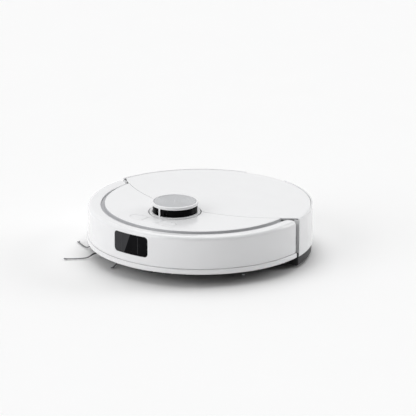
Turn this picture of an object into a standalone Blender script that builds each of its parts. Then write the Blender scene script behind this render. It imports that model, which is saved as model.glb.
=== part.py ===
"""Robot vacuum cleaner with a laser turret, a spring bumper, a hinged lid and a mop pad.

Metres, +Z up, the front of the robot at -Y, the floor at Z = 0 and the origin under the middle
of the round body. Every sub-part is one object, and every joint has an empty on its axis.
"""

import math

import bmesh
import bpy
from mathutils import Matrix, Vector

# ---- Body of the robot -------------------------------------------------------------------------
BODY_R = 0.175
GAP = 0.0003
BUMPER_END_DEG = 94.3
SHELL_END_DEG = 97.5
SHELL_Z = (0.0245, 0.080)
SHELL_WALL = 0.0027
FRAME_R = 0.1646
FRAME_WALL = 0.003
PAN_Z = (0.010, 0.013)
PAN_RIM_Z = 0.030
DECK_Z = (0.0683, 0.0716)
TOP_Z = 0.080
PLATE_T = 0.0025

# ---- Bumper, its lip and the sensor window ----------------------------------------------------
BUMPER_Z = (0.0283, 0.0792)
BUMPER_WALL = 0.003
LIP_R = 0.177
LIP_Z = (0.020, 0.028)
WINDOW_Z = (0.0397, 0.0728)
WINDOW_W = 0.0660
WINDOW_CORNER_R = 0.006

# ---- Front plate and lid: they part along one arc ----------------------------------------------
GROOVE_R = 0.1485
LEDGE_R = 0.160
LEDGE_Z = (0.0722, 0.0752)
SPLIT_R = 0.247
SPLIT_Y = 0.205
SPLIT_GAP = 0.0002
BUMPER_CLEAR = 0.0046
LID_R = 0.1718
LID_AXIS_Y = -0.028
LID_RAIL_X = 0.060
LID_RAIL_R = (0.009, 0.012)
NOTCH_W = 0.076
NOTCH_Z = 0.0747

# ---- Laser turret ------------------------------------------------------------------------------
TURRET_Y = -0.064
TURRET_HOLE_R = 0.041
TURRET_CAP_R = 0.036
TURRET_TOP_Z = 0.097
TURRET_BAND_Z = (0.0813, 0.0926)
STRUT_BEARINGS = (-4.0, 116.0, -124.0)
STRUT_W = 0.003

# ---- Buttons -----------------------------------------------------------------------------------
BUTTON_Y = -0.119
BUTTON_STRIP = (0.0848, 0.0188)
BUTTON_MIDDLE_W = 0.0272
BUTTON_SLIT = 0.0008

# ---- Drive wheels and suspension ---------------------------------------------------------------
WHEEL_X = 0.112
WHEEL_Y = 0.005
WHEEL_R = 0.0325
WHEEL_W = 0.022
RIM_R = 0.026
PIVOT_Y = -0.033
PIVOT_Z = 0.044
ARM_X = (0.074, 0.097)

# ---- Caster, main brush and side brush ---------------------------------------------------------
CASTER_Y = -0.132
CASTER_TRAIL = 0.004
CASTER_R = 0.0085
BRUSH_Y = -0.068
BRUSH_Z = 0.0245
BRUSH_R = 0.020
BRUSH_HALF = 0.074
MOUTH_HALF = (0.0845, 0.030)
SIDE_BRUSH_XY = (-0.103, -0.100)
SIDE_BRUSH_ARMS = 5
SIDE_BRUSH_FIRST_DEG = 23.5
SIDE_BRUSH_REACH = 0.075
HUB_R = 0.011

# ---- Inside: dust bin, fan, battery ------------------------------------------------------------
BIN_LO = (-0.070, 0.022, 0.032)
BIN_HI = (0.070, 0.138, 0.0750)
BIN_WALL = 0.002
FAN_XY = (0.106, 0.080)
FAN_R = 0.026
FAN_BLADES = 9

# ---- Mop and charging contacts -----------------------------------------------------------------
MOP_R = 0.1735
MOP_Z = (0.0033, 0.0097)
CLOTH_R = 0.165
CLOTH_FRONT_Y = 0.066
CONTACT_X = 0.022
CONTACT_SIZE = (0.010, 0.019)
CONTACT_FACE_Y = 0.1749
CONTACT_Z = 0.041
CLIFF_SENSORS = ((0.045, -0.140), (0.140, -0.045))

# ---- Roundness of turned pieces ----------------------------------------------------------------
LARGE, MEDIUM, SMALL = 60, 32, 16

FINISHES = {
    "white_shell": ((0.88, 0.89, 0.90), 0.22, 0.0),
    "white_trim": ((0.84, 0.85, 0.86), 0.35, 0.0),
    "black_glass": ((0.01, 0.01, 0.012), 0.06, 0.0),
    "dark_plastic": ((0.05, 0.05, 0.055), 0.55, 0.0),
    "grey_plastic": ((0.25, 0.26, 0.27), 0.5, 0.0),
    "spun_metal": ((0.72, 0.73, 0.75), 0.25, 1.0),
    "copper_alloy": ((0.78, 0.66, 0.42), 0.3, 1.0),
    "tyre_rubber": ((0.03, 0.03, 0.03), 0.85, 0.0),
    "bristle": ((0.16, 0.16, 0.17), 0.8, 0.0),
    "brush_rubber": ((0.20, 0.21, 0.23), 0.7, 0.0),
    "board_green": ((0.03, 0.16, 0.08), 0.5, 0.0),
    "battery_wrap": ((0.06, 0.10, 0.22), 0.5, 0.0),
    "filter_paper": ((0.82, 0.80, 0.74), 0.9, 0.0),
    "smoked_clear": ((0.18, 0.19, 0.20), 0.2, 0.0),
    "mop_fabric": ((0.42, 0.43, 0.45), 0.95, 0.0),
}


def clear_scene():
    for item in list(bpy.data.objects):
        bpy.data.objects.remove(item, do_unlink=True)


def collection(name):
    made = bpy.data.collections.new(name)
    bpy.context.scene.collection.children.link(made)
    return made


def material(name):
    colour, roughness, metallic = FINISHES[name]
    made = bpy.data.materials.get(name) or bpy.data.materials.new(name)
    made.use_nodes = True
    shader = made.node_tree.nodes["Principled BSDF"]
    shader.inputs["Base Color"].default_value = (*colour, 1.0)
    shader.inputs["Roughness"].default_value = roughness
    shader.inputs["Metallic"].default_value = metallic
    return made


def new_object(name, mesh, finish):
    """Adds a sub-part, or a cutter when it has no finish."""
    item = bpy.data.objects.new(name, mesh)
    if finish is None:
        CUTTERS.objects.link(item)
        item.hide_render = True
        item.display_type = "WIRE"
    else:
        PARTS.objects.link(item)
        mesh.materials.append(material(finish))
    return item


def mesh_from(bm, name):
    mesh = bpy.data.meshes.new(name)
    bm.to_mesh(mesh)
    bm.free()
    return mesh


def box(name, low, high, finish=None):
    """A block between two corners."""
    low, high = Vector(low), Vector(high)
    bm = bmesh.new()
    bmesh.ops.create_cube(bm, size=1.0)
    bmesh.ops.scale(bm, vec=high - low, verts=bm.verts)
    bmesh.ops.translate(bm, vec=(low + high) / 2, verts=bm.verts)
    return new_object(name, mesh_from(bm, name), finish)


def rod(name, radius, start, end, finish=None, sides=SMALL):
    """A round bar from one point to another."""
    start, end = Vector(start), Vector(end)
    bm = bmesh.new()
    bmesh.ops.create_cone(bm, cap_ends=True, segments=sides, radius1=radius, radius2=radius,
                          depth=(end - start).length)
    turn = Vector((0, 0, 1)).rotation_difference(end - start).to_matrix().to_4x4()
    bmesh.ops.transform(bm, matrix=Matrix.Translation((start + end) / 2) @ turn, verts=bm.verts)
    mesh = mesh_from(bm, name)
    mesh.shade_smooth()
    mesh.set_sharp_from_angle(angle=math.radians(35))
    return new_object(name, mesh, finish)


def turned(name, profile, finish=None, centre=(0.0, 0.0), sides=LARGE):
    """Turns (radius, height) points about Z. They run down the outer side, top to bottom."""
    mesh = bpy.data.meshes.new(name)
    count = len(profile)
    edges = [(i, i + 1) for i in range(count - 1)]
    if profile[0][0] > 0:
        edges.append((count - 1, 0))
    mesh.from_pydata([(r, 0.0, z) for r, z in profile], edges, [])
    item = new_object(name, mesh, finish)
    item.location = (centre[0], centre[1], 0.0)
    screw = item.modifiers.new("Turn", "SCREW")
    screw.steps = screw.render_steps = sides
    screw.use_merge_vertices = True
    screw.merge_threshold = 0.00001
    return item


def slab(name, outline, bottom, top, finish=None):
    """A flat outline given its thickness."""
    curve = bpy.data.curves.new(name, "CURVE")
    curve.dimensions, curve.fill_mode = "2D", "BOTH"
    curve.extrude = (top - bottom) / 2
    spline = curve.splines.new("POLY")
    spline.points.add(len(outline) - 1)
    for point, (x, y) in zip(spline.points, outline):
        point.co = (x, y, 0.0, 1.0)
    spline.use_cyclic_u = True
    drawn = bpy.data.objects.new(name, curve)
    bpy.context.scene.collection.objects.link(drawn)
    bpy.context.view_layer.update()
    shape = drawn.evaluated_get(bpy.context.evaluated_depsgraph_get())
    mesh = bpy.data.meshes.new_from_object(shape)
    bpy.data.objects.remove(drawn)
    bm = bmesh.new()
    bm.from_mesh(mesh)
    bmesh.ops.remove_doubles(bm, verts=bm.verts, dist=0.00001)
    bmesh.ops.recalc_face_normals(bm, faces=bm.faces)
    bmesh.ops.translate(bm, vec=(0, 0, (top + bottom) / 2), verts=bm.verts)
    bm.to_mesh(mesh)
    bm.free()
    mesh.materials.clear()
    return new_object(name, mesh, finish)


def bearing_point(radius, degrees, centre=(0.0, 0.0)):
    """A point at a bearing counted from the front, -Y, towards +X."""
    angle = math.radians(degrees)
    return (centre[0] + radius * math.sin(angle), centre[1] - radius * math.cos(angle))


def wedge(name, start_deg, end_deg, bottom, top, inner=0.0, outer=0.3, finish=None, centre=(0.0, 0.0)):
    """A sector, or a piece of a ring, between two bearings."""
    count = max(2, round(abs(end_deg - start_deg) / 15) + 1)
    bearings = [start_deg + (end_deg - start_deg) * i / (count - 1) for i in range(count)]
    outline = [bearing_point(outer, b, centre) for b in bearings]
    if inner:
        outline += [bearing_point(inner, b, centre) for b in reversed(bearings)]
    else:
        outline.append(centre)
    return slab(name, outline, bottom, top, finish)


def rounded_rectangle(width, height, radius, steps=5):
    points = []
    for corner in range(4):
        middle_x = (width / 2 - radius) * (1 if corner in (0, 3) else -1)
        middle_y = (height / 2 - radius) * (1 if corner in (0, 1) else -1)
        for i in range(steps + 1):
            angle = math.radians(90 * (corner + i / steps))
            points.append((middle_x + radius * math.cos(angle), middle_y + radius * math.sin(angle)))
    return points


def star(points, inner, outer, width_deg):
    """An outline with straight blades, each a few degrees wide."""
    outline = []
    for i in range(points):
        middle = 360 * i / points
        step = 360 / points
        outline.append(bearing_point(outer, middle - width_deg / 2))
        outline.append(bearing_point(outer, middle + width_deg / 2))
        outline.append(bearing_point(inner, middle + width_deg))
        outline.append(bearing_point(inner, middle + step - width_deg))
    return outline


def combine(item, other, operation):
    modifier = item.modifiers.new(operation.title(), "BOOLEAN")
    modifier.operation = operation
    modifier.solver = "EXACT"
    modifier.object = other


def cut(item, *others):
    for other in others:
        combine(item, other, "DIFFERENCE")


def move_mesh(item, matrix):
    item.data.transform(matrix)
    return item


def on_joint(name, position, pieces):
    """Puts an empty on a joint's axis and hangs the moving pieces on it."""
    pivot = bpy.data.objects.new(name, None)
    pivot.location = position
    pivot.empty_display_size = 0.01
    PARTS.objects.link(pivot)
    for piece in pieces:
        piece.parent = pivot
        piece.matrix_parent_inverse = Matrix.Translation(position).inverted()


def side_name(side):
    return "left" if side > 0 else "right"


# ---- Shell of the robot ------------------------------------------------------------------------
def split_cutter(name, radius, bottom, top, spread=0.0):
    """A round cutter along the arc between lid and front plate, wider below by the spread."""
    return turned(name, [(0, top), (radius, top), (radius + spread, bottom), (0, bottom)],
                  centre=(0.0, SPLIT_Y), sides=128)


def make_pan():
    inner = FRAME_R - FRAME_WALL
    pan = turned("base_pan", [
        (0, PAN_Z[1]), (inner - 0.002, PAN_Z[1]), (inner, 0.0155), (inner, PAN_RIM_Z),
        (FRAME_R, PAN_RIM_Z), (FRAME_R, 0.0135), (0.160, PAN_Z[0]), (0, PAN_Z[0]),
    ], "dark_plastic")
    half_x, half_y = MOUTH_HALF
    cut(pan, box("cut_mouth", (-half_x, BRUSH_Y - half_y, 0.0), (half_x, BRUSH_Y + half_y, 0.016)))
    for side in (1, -1):
        name = side_name(side)
        low, high = sorted((side * 0.099, side * 0.128))
        cut(pan, box(f"cut_well_{name}", (low, -0.044, 0.0), (high, 0.048, 0.016)))
        low, high = sorted((side * 0.0695, side * 0.0995))
        cut(pan, box(f"cut_arm_{name}", (low, -0.0437, 0.0), (high, 0.0477, 0.016)))
        for x, y in CLIFF_SENSORS:
            cut(pan, rod(f"cut_cliff_{name}", 0.0053, (side * x, y, 0.0), (side * x, y, 0.016)))
    cut(pan, rod("cut_caster", 0.0148, (0, CASTER_Y, 0.0), (0, CASTER_Y, 0.016)))
    cut(pan, rod("cut_side_brush", 0.0148, (*SIDE_BRUSH_XY, 0.0), (*SIDE_BRUSH_XY, 0.016)))


def make_chassis_ring():
    inner = FRAME_R - FRAME_WALL
    low, high = PAN_RIM_Z + GAP, DECK_Z[1]
    ring = turned("chassis_ring", [(inner, high), (FRAME_R, high), (FRAME_R, low), (inner, low)],
                  "dark_plastic")
    cut(ring, box("cut_sensor_pocket", (-0.036, -0.17, 0.035), (0.036, -0.15, 0.09)))


def make_deck():
    radius = FRAME_R - FRAME_WALL - GAP
    deck = turned("inner_deck", [(0, DECK_Z[1]), (radius, DECK_Z[1]), (radius, DECK_Z[0]),
                                 (0, DECK_Z[0])], "grey_plastic")
    low, high = 0.066, 0.074
    clear = 0.003
    cut(deck, box("cut_bin", (BIN_LO[0] - clear, BIN_LO[1] - clear, low),
                  (BIN_HI[0] + clear, BIN_HI[1] + clear, high)))
    cut(deck, rod("cut_turret_base", 0.031, (0, TURRET_Y, low), (0, TURRET_Y, high), sides=MEDIUM))
    for side in (1, -1):
        x = side * LID_RAIL_X
        cut(deck, box(f"cut_rail_{side_name(side)}", (x - 0.0035, LID_AXIS_Y - 0.014, low),
                      (x + 0.0035, LID_AXIS_Y + 0.014, high)))
    cut(deck, box("cut_lid_nose", (-0.0545, LID_AXIS_Y - 0.010, low), (0.0545, LID_AXIS_Y + 0.001, high)))
    cut(deck, box("cut_deck_sensor", (-0.036, -0.17, low), (0.036, -0.1555, high)))


def make_rear_shell():
    inner = BODY_R - SHELL_WALL
    flange = FRAME_R + 2 * GAP
    bottom, top = SHELL_Z
    shell = turned("rear_shell", [
        (inner, top), (0.1734, top), (0.1746, 0.0793), (BODY_R, 0.078), (BODY_R, bottom + 0.0015),
        (BODY_R - 0.0015, bottom), (flange, bottom), (flange, bottom + 0.0025),
        (inner, bottom + 0.0025),
    ], "white_shell")
    cut(shell, wedge("cut_shell_front", -SHELL_END_DEG, SHELL_END_DEG, 0.0, 0.1))
    for side in (1, -1):
        combine(shell, wedge(f"add_end_{side_name(side)}", side * SHELL_END_DEG,
                             side * (SHELL_END_DEG + 1.2), bottom + 0.0004, 0.0768,
                             inner=flange, outer=inner + 0.0005), "UNION")
    cut(shell, box("cut_notch", (-NOTCH_W / 2, 0.150, NOTCH_Z), (NOTCH_W / 2, 0.2, 0.09)))
    half_w, half_h = CONTACT_SIZE[0] / 2 + 0.0004, CONTACT_SIZE[1] / 2 + 0.0004
    for side in (1, -1):
        x = side * CONTACT_X
        cut(shell, box(f"cut_contact_{side_name(side)}", (x - half_w, 0.165, CONTACT_Z - half_h),
                       (x + half_w, 0.2, CONTACT_Z + half_h)))
    cut(shell, box("cut_ir", (-0.0104, 0.165, 0.0326), (0.0104, 0.2, 0.0494)))
    for side in (1, -1):
        x = side * CONTACT_X
        box(f"contact_{side_name(side)}", (x - CONTACT_SIZE[0] / 2, 0.170, CONTACT_Z - CONTACT_SIZE[1] / 2),
            (x + CONTACT_SIZE[0] / 2, CONTACT_FACE_Y, CONTACT_Z + CONTACT_SIZE[1] / 2), "copper_alloy")
    box("rear_ir_window", (-0.010, 0.170, 0.033), (0.010, 0.1746, 0.049), "black_glass")


def make_front_plate():
    plate = turned("front_plate", [
        (0, TOP_Z), (GROOVE_R, TOP_Z), (GROOVE_R + 0.0017, LEDGE_Z[1]), (LEDGE_R, LEDGE_Z[1]),
        (LEDGE_R, LEDGE_Z[0]), (GROOVE_R - 0.002, LEDGE_Z[0]), (GROOVE_R - 0.002, TOP_Z - PLATE_T),
        (0, TOP_Z - PLATE_T),
    ], "white_shell")
    cut(plate, split_cutter("cut_plate_split", SPLIT_R + SPLIT_GAP, 0.070, 0.081))
    cut(plate, rod("cut_plate_turret", TURRET_HOLE_R, (0, TURRET_Y, 0.07), (0, TURRET_Y, 0.09), sides=MEDIUM))
    outline = rounded_rectangle(*BUTTON_STRIP, BUTTON_STRIP[1] / 2 - 0.0001, steps=6)
    strip = slab("cut_strip", outline, 0.075, 0.085)
    cut(plate, move_mesh(strip, Matrix.Translation((0, BUTTON_Y, 0))))


def make_lid():
    lid = turned("lid", [(0, TOP_Z), (LID_R - 0.001, TOP_Z), (LID_R, TOP_Z - 0.0008),
                         (LID_R, TOP_Z - PLATE_T), (0, TOP_Z - PLATE_T)], "white_shell")
    keep = split_cutter("keep_lid", SPLIT_R - SPLIT_GAP, 0.070, 0.090)
    combine(lid, keep, "INTERSECT")
    cut(lid, rod("cut_lid_turret", TURRET_HOLE_R, (0, TURRET_Y, 0.07), (0, TURRET_Y, 0.09), sides=MEDIUM))
    pieces = [lid]
    for side in (1, -1):
        name = f"lid_rail_{side_name(side)}"
        rail = wedge(name, -20, 71, -0.0025, 0.0025, *LID_RAIL_R, finish="grey_plastic")
        # The outline lies in XY; it is stood up so that its bearings turn about the lid's axis.
        stand = Matrix(((0, 0, 1), (1, 0, 0), (0, 1, 0))).to_4x4()
        move_mesh(rail, Matrix.Translation((side * LID_RAIL_X, LID_AXIS_Y, TOP_Z)) @ stand)
        pieces.append(rail)
    on_joint("lid_hinge_axis", (0, LID_AXIS_Y, TOP_Z), pieces)


def make_buttons():
    middle_half = BUTTON_MIDDLE_W / 2
    half_x, half_y = BUTTON_STRIP[0] / 2 - 0.0004, BUTTON_STRIP[1] / 2 - 0.0004
    z_low, z_high = TOP_Z - 0.0028, TOP_Z
    outline = rounded_rectangle(2 * half_x, 2 * half_y, half_y - 0.0001, steps=6)
    for name, low, high in (
        ("button_power", -middle_half, middle_half),
        ("button_dock", middle_half + BUTTON_SLIT, half_x + 0.01),
        ("button_spot", -half_x - 0.01, -middle_half - BUTTON_SLIT),
    ):
        button = slab(name, outline, z_low, z_high, "white_trim")
        move_mesh(button, Matrix.Translation((0, BUTTON_Y, 0)))
        keep = box(f"keep_{name}", (low, BUTTON_Y - 0.02, 0.07), (high, BUTTON_Y + 0.02, 0.09))
        combine(button, keep, "INTERSECT")
        middle = min(max((low + high) / 2, -0.028), 0.028)
        on_joint(f"{name}_axis", (middle, BUTTON_Y, z_high), [button])


# ---- Bumper ------------------------------------------------------------------------------------
def window_block(name, margin, depth=(-0.2, -0.15)):
    outline = rounded_rectangle(WINDOW_W - 2 * margin, WINDOW_Z[1] - WINDOW_Z[0] - 2 * margin,
                                WINDOW_CORNER_R - margin)
    block = slab(name, outline, depth[0], depth[1])
    upright = Matrix(((1, 0, 0), (0, 0, 1), (0, 1, 0))).to_4x4()
    move_mesh(block, Matrix.Translation((0, 0, (WINDOW_Z[0] + WINDOW_Z[1]) / 2)) @ upright)
    block.data.flip_normals()
    return block


def make_bumper():
    inner = BODY_R - BUMPER_WALL
    low, high = BUMPER_Z
    bumper = turned("bumper", [
        (0.155, 0.0776), (0.1635, high), (0.1685, 0.0789), (0.172, 0.0770), (0.1742, 0.0735),
        (BODY_R, 0.0695), (BODY_R, low), (inner, low), (inner, 0.069), (0.171, 0.0725),
        (0.168, 0.0750), (0.1635, 0.0758), (0.155, 0.0758),
    ], "white_shell")
    lip = turned("bumper_lip", [
        (inner, LIP_Z[1]), (0.1745, LIP_Z[1]), (LIP_R, LIP_Z[1] - 0.0008), (LIP_R, 0.0215),
        (LIP_R - 0.0018, LIP_Z[0]), (0.170, LIP_Z[0]), (0.170, 0.0225), (inner, 0.0240),
    ], "white_shell")
    rear = wedge("cut_bumper_rear", BUMPER_END_DEG, 360 - BUMPER_END_DEG, 0.0, 0.1)
    cut(bumper, rear)
    cut(lip, rear)
    cut(bumper, split_cutter("cut_rim_end", SPLIT_R + BUMPER_CLEAR, 0.074, 0.090))
    cut(bumper, window_block("cut_window", 0.0))
    window = turned("sensor_window", [(0.1705, 0.0745), (0.1738, 0.0745), (0.1742, 0.0730), (0.1747, 0.0695),
                                      (0.1747, 0.036), (0.1705, 0.036)], "black_glass")
    combine(window, window_block("keep_window", 0.0004), "INTERSECT")
    module = box("sensor_module", (-0.031, -0.1670, 0.041), (0.031, -0.1610, 0.070), "dark_plastic")
    on_joint("bumper_press_axis", (0, -BODY_R, 0.05), [bumper, lip, window, module])


# ---- Laser turret ------------------------------------------------------------------------------
def make_turret():
    centre = (0.0, TURRET_Y)
    turned("lidar_base", [(0, 0.0760), (0.012, 0.0760), (0.012, 0.0725), (0.030, 0.0725),
                          (0.030, 0.0605), (0, 0.0605)], "dark_plastic", centre, MEDIUM)
    head = turned("lidar_head", [(0, 0.0908), (0.0333, 0.0908), (0.0343, 0.0900), (0.0343, 0.0790),
                                 (0.0140, 0.0764), (0, 0.0764)], "black_glass", centre, MEDIUM)
    on_joint("lidar_spin_axis", (0, TURRET_Y, 0.085), [head])
    low, high = TURRET_BAND_Z
    ring = turned("turret_ring", [(0.0348, low - GAP), (0.0385, low - GAP), (0.0395, 0.0802),
                                  (0.0395, 0.0790), (0.0348, 0.0790)], "white_trim", centre, MEDIUM)
    cap = turned("turret_cap", [
        (0, 0.0954), (0.0332, 0.0954), (0.0332, 0.0966), (0.0345, TURRET_TOP_Z),
        (0.0355, 0.0967), (TURRET_CAP_R, 0.0957), (TURRET_CAP_R, high), (0, high),
    ], "white_trim", centre, MEDIUM)
    disc = turned("turret_disc", [(0, 0.0963), (0.0022, 0.0966), (0.0318, 0.0966), (0.0329, 0.0961),
                                  (0.0329, 0.0957), (0, 0.0957)], "spun_metal", centre, MEDIUM)
    pieces = [ring, cap, disc]
    for number, bearing in enumerate(STRUT_BEARINGS, 1):
        half = math.degrees(STRUT_W / 2 / TURRET_CAP_R)
        pieces.append(wedge(f"turret_strut_{number}", bearing - half, bearing + half, low, high - GAP,
                            inner=0.0348, outer=0.0359, finish="white_trim", centre=centre))
    on_joint("turret_press_axis", (0, TURRET_Y, TURRET_TOP_Z), pieces)


# ---- Wheels ------------------------------------------------------------------------------------
def make_drive_wheel(side):
    name = side_name(side)
    pivot = (PIVOT_Y, PIVOT_Z)
    arm_low, arm_high = sorted((side * ARM_X[0], side * ARM_X[1]))
    arm = box(f"suspension_arm_{name}", (arm_low, PIVOT_Y - 0.0045, 0.026), (arm_high, 0.024, 0.050),
              "grey_plastic")
    cut(arm, box(f"cut_arm_corner_{name}", (arm_low - 0.01, PIVOT_Y - 0.02, 0.0),
                 (arm_high + 0.01, PIVOT_Y + 0.011, PIVOT_Z - 0.008)))
    cut(arm, rod(f"cut_pin_{name}", 0.0033, (side * 0.07, *pivot), (side * 0.10, *pivot)))
    block_low, block_high = sorted((side * 0.0665, side * 0.0735))
    bracket = box(f"suspension_bracket_{name}", (block_low, -0.0395, 0.0133), (block_high, -0.025, 0.052),
                  "dark_plastic")
    pin = rod(f"add_pin_{name}", 0.0030, (side * 0.070, *pivot), (side * 0.096, *pivot))
    combine(bracket, pin, "UNION")

    to_axle = Matrix.Translation((side * WHEEL_X, WHEEL_Y, WHEEL_R)) @ Matrix.Rotation(
        side * math.pi / 2, 4, "Y")
    half = WHEEL_W / 2
    rim = turned(f"wheel_rim_{name}", [
        (0, half - 0.004), (0.008, half - 0.004), (0.010, half - 0.007), (0.021, half - 0.007),
        (0.0235, half - 0.001), (RIM_R, half - 0.001), (RIM_R, 0.001 - half), (0.005, 0.001 - half),
        (0.005, 0.0004 - 0.015), (0, 0.0004 - 0.015),
    ], "grey_plastic", sides=32)
    rim.location, rim.rotation_euler = to_axle.to_translation(), to_axle.to_euler()
    tyre = turned(f"wheel_tyre_{name}", [
        (RIM_R + GAP, half), (WHEEL_R - 0.002, half), (WHEEL_R, half - 0.003), (WHEEL_R, 0.003 - half),
        (WHEEL_R - 0.002, -half), (RIM_R + GAP, -half),
    ], "tyre_rubber", sides=48)
    tyre.location, tyre.rotation_euler = to_axle.to_translation(), to_axle.to_euler()
    place_pivot = (side * WHEEL_X, PIVOT_Y, PIVOT_Z)
    on_joint(f"suspension_{name}_axis", place_pivot, [arm])
    axle = bpy.data.objects.new(f"wheel_{name}_axis", None)
    PARTS.objects.link(axle)
    axle.location = to_axle.to_translation()
    for piece in (rim, tyre):
        piece.parent = axle
        piece.matrix_parent_inverse = Matrix.Translation(axle.location).inverted()


def make_caster():
    centre = (0.0, CASTER_Y)
    turned("caster_socket", [(0.0053, 0.0300), (0.0165, 0.0300), (0.0165, 0.0133), (0.0146, 0.0133),
                             (0.0146, 0.0222), (0.0053, 0.0222)], "dark_plastic", centre, SMALL)
    fork = turned("caster_fork", [(0, 0.0285), (0.0050, 0.0285), (0.0050, 0.0218), (0.0125, 0.0218),
                                  (0.0138, 0.0205), (0.0138, 0.0060), (0.0125, 0.0045), (0, 0.0045)],
                  "grey_plastic", centre, SMALL)
    axle_y = CASTER_Y + CASTER_TRAIL
    cut(fork, rod("cut_caster_slot", CASTER_R + 0.0012, (-0.0078, axle_y, CASTER_R),
                  (0.0078, axle_y, CASTER_R)))
    cut(fork, box("cut_caster_mouth", (-0.0078, axle_y - CASTER_R - 0.0012, 0.0),
                  (0.0078, axle_y + CASTER_R + 0.0012, CASTER_R)))
    cut(fork, rod("cut_caster_axle", 0.0018, (-0.02, axle_y, CASTER_R), (0.02, axle_y, CASTER_R)))
    wheel = turned("caster_wheel", [
        (0, 0.0105), (0.0015, 0.0105), (0.0015, 0.0070), (0.0075, 0.0070), (CASTER_R, 0.0055),
        (CASTER_R, -0.0055), (0.0075, -0.0070), (0.0015, -0.0070), (0.0015, -0.0105), (0, -0.0105),
    ], "tyre_rubber", sides=SMALL)
    wheel.rotation_euler = (0, math.pi / 2, 0)
    wheel.location = (0, axle_y, CASTER_R)
    on_joint("caster_swivel_axis", (0, CASTER_Y, 0.02), [fork])


# ---- Brushes -----------------------------------------------------------------------------------
def make_main_brush():
    front, back = BRUSH_Y - 0.028, BRUSH_Y + 0.028
    hood = box("brush_housing", (-0.081, front, 0.0133), (0.081, back, 0.0500), "grey_plastic")
    cut(hood, box("cut_hood", (-0.077, front + 0.0045, 0.0), (0.077, back - 0.0045, 0.0460)))
    cut(hood, box("cut_hood_outlet", (-0.030, back - 0.01, 0.034), (0.030, back + 0.01, 0.0450)))
    brush = slab("main_brush", star(6, 0.0110, BRUSH_R, 9.0), -BRUSH_HALF, BRUSH_HALF, "brush_rubber")
    move_mesh(brush, Matrix.Translation((0, BRUSH_Y, BRUSH_Z)) @ Matrix.Rotation(math.pi / 2, 4, "Y"))
    on_joint("main_brush_axis", (0, BRUSH_Y, BRUSH_Z), [brush])
    half_x, half_y = MOUTH_HALF[0] - GAP, MOUTH_HALF[1] - GAP
    cover = slab("brush_cover", rounded_rectangle(2 * half_x, 2 * half_y, 0.003, steps=2),
                 PAN_Z[0] + 0.0002, PAN_Z[1], "grey_plastic")
    move_mesh(cover, Matrix.Translation((0, BRUSH_Y, 0)))
    cut(cover, box("cut_cover", (-0.077, front + 0.0045, 0.0), (0.077, back - 0.0045, 0.02)))
    duct = box("suction_duct", (-0.034, back + GAP, 0.030), (0.034, BIN_LO[1] - GAP, 0.0600), "dark_plastic")
    cut(duct, box("cut_duct", (-0.030, back - 0.01, 0.034), (0.030, 0.03, 0.0560)))


def side_brush_height(share):
    """Height of an arm's middle, from its root at share 0 down to its bristles at share 1."""
    return 0.0014 + 0.0069 * (1 - share) ** 2.6


def side_brush_width(share):
    flare = max(0.0, (share - 0.80) / 0.20)
    return 0.0034 - 0.0008 * share + 0.0092 * min(1.0, 1.6 * flare)


def make_side_brush():
    turned("side_brush_motor", [(0.0034, 0.0450), (0.0145, 0.0450), (0.0145, 0.0160), (0.0158, 0.0160),
                                (0.0158, 0.0133), (0.0034, 0.0133)], "grey_plastic", SIDE_BRUSH_XY, SMALL)
    hub = turned("side_brush_hub", [(0, 0.0200), (0.0030, 0.0200), (0.0030, 0.0110), (HUB_R, 0.0110),
                                    (HUB_R, 0.0062), (HUB_R - 0.002, 0.0048), (0, 0.0048)],
                 "grey_plastic", SIDE_BRUSH_XY, SMALL)
    pieces = [hub]
    root = HUB_R + GAP
    for number in range(SIDE_BRUSH_ARMS):
        name = f"side_brush_arm_{number + 1}"
        bm = bmesh.new()
        bmesh.ops.create_grid(bm, x_segments=10, y_segments=1, size=0.5)
        for vertex in bm.verts:
            share = vertex.co.x + 0.5
            vertex.co = (root + share * (SIDE_BRUSH_REACH - root),
                         vertex.co.y * side_brush_width(share), side_brush_height(share))
        arm = new_object(name, mesh_from(bm, name), "bristle")
        thickness = arm.modifiers.new("Thickness", "SOLIDIFY")
        thickness.thickness, thickness.offset = 0.0018, 0.0
        heading = -90 - SIDE_BRUSH_FIRST_DEG - 360 / SIDE_BRUSH_ARMS * number
        arm.location = (*SIDE_BRUSH_XY, 0.0)
        arm.rotation_euler = (0, 0, math.radians(heading))
        pieces.append(arm)
    on_joint("side_brush_axis", (*SIDE_BRUSH_XY, 0.008), pieces)


# ---- Inside ------------------------------------------------------------------------------------
def make_dust_bin():
    low, high = Vector(BIN_LO), Vector(BIN_HI)
    wall = Vector((BIN_WALL,) * 3)
    dust_bin = box("dust_bin", low, high, "smoked_clear")
    cut(dust_bin, box("cut_bin_inside", low + wall, high - wall))
    cut(dust_bin, box("cut_bin_inlet", (-0.030, 0.01, 0.036), (0.030, 0.03, 0.056)))
    cut(dust_bin, box("cut_bin_outlet", (-0.045, 0.13, 0.038), (0.045, 0.15, 0.062)))
    box("filter", (-0.048, BIN_HI[1] + GAP, 0.036), (0.048, BIN_HI[1] + 0.008, 0.064), "filter_paper")
    box("battery", (-0.062, 0.045, 0.0133), (0.062, 0.118, 0.0310), "battery_wrap")
    box("main_board", (-0.055, -0.1500, 0.0560), (0.055, -0.0970, 0.0580), "board_green")


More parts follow.
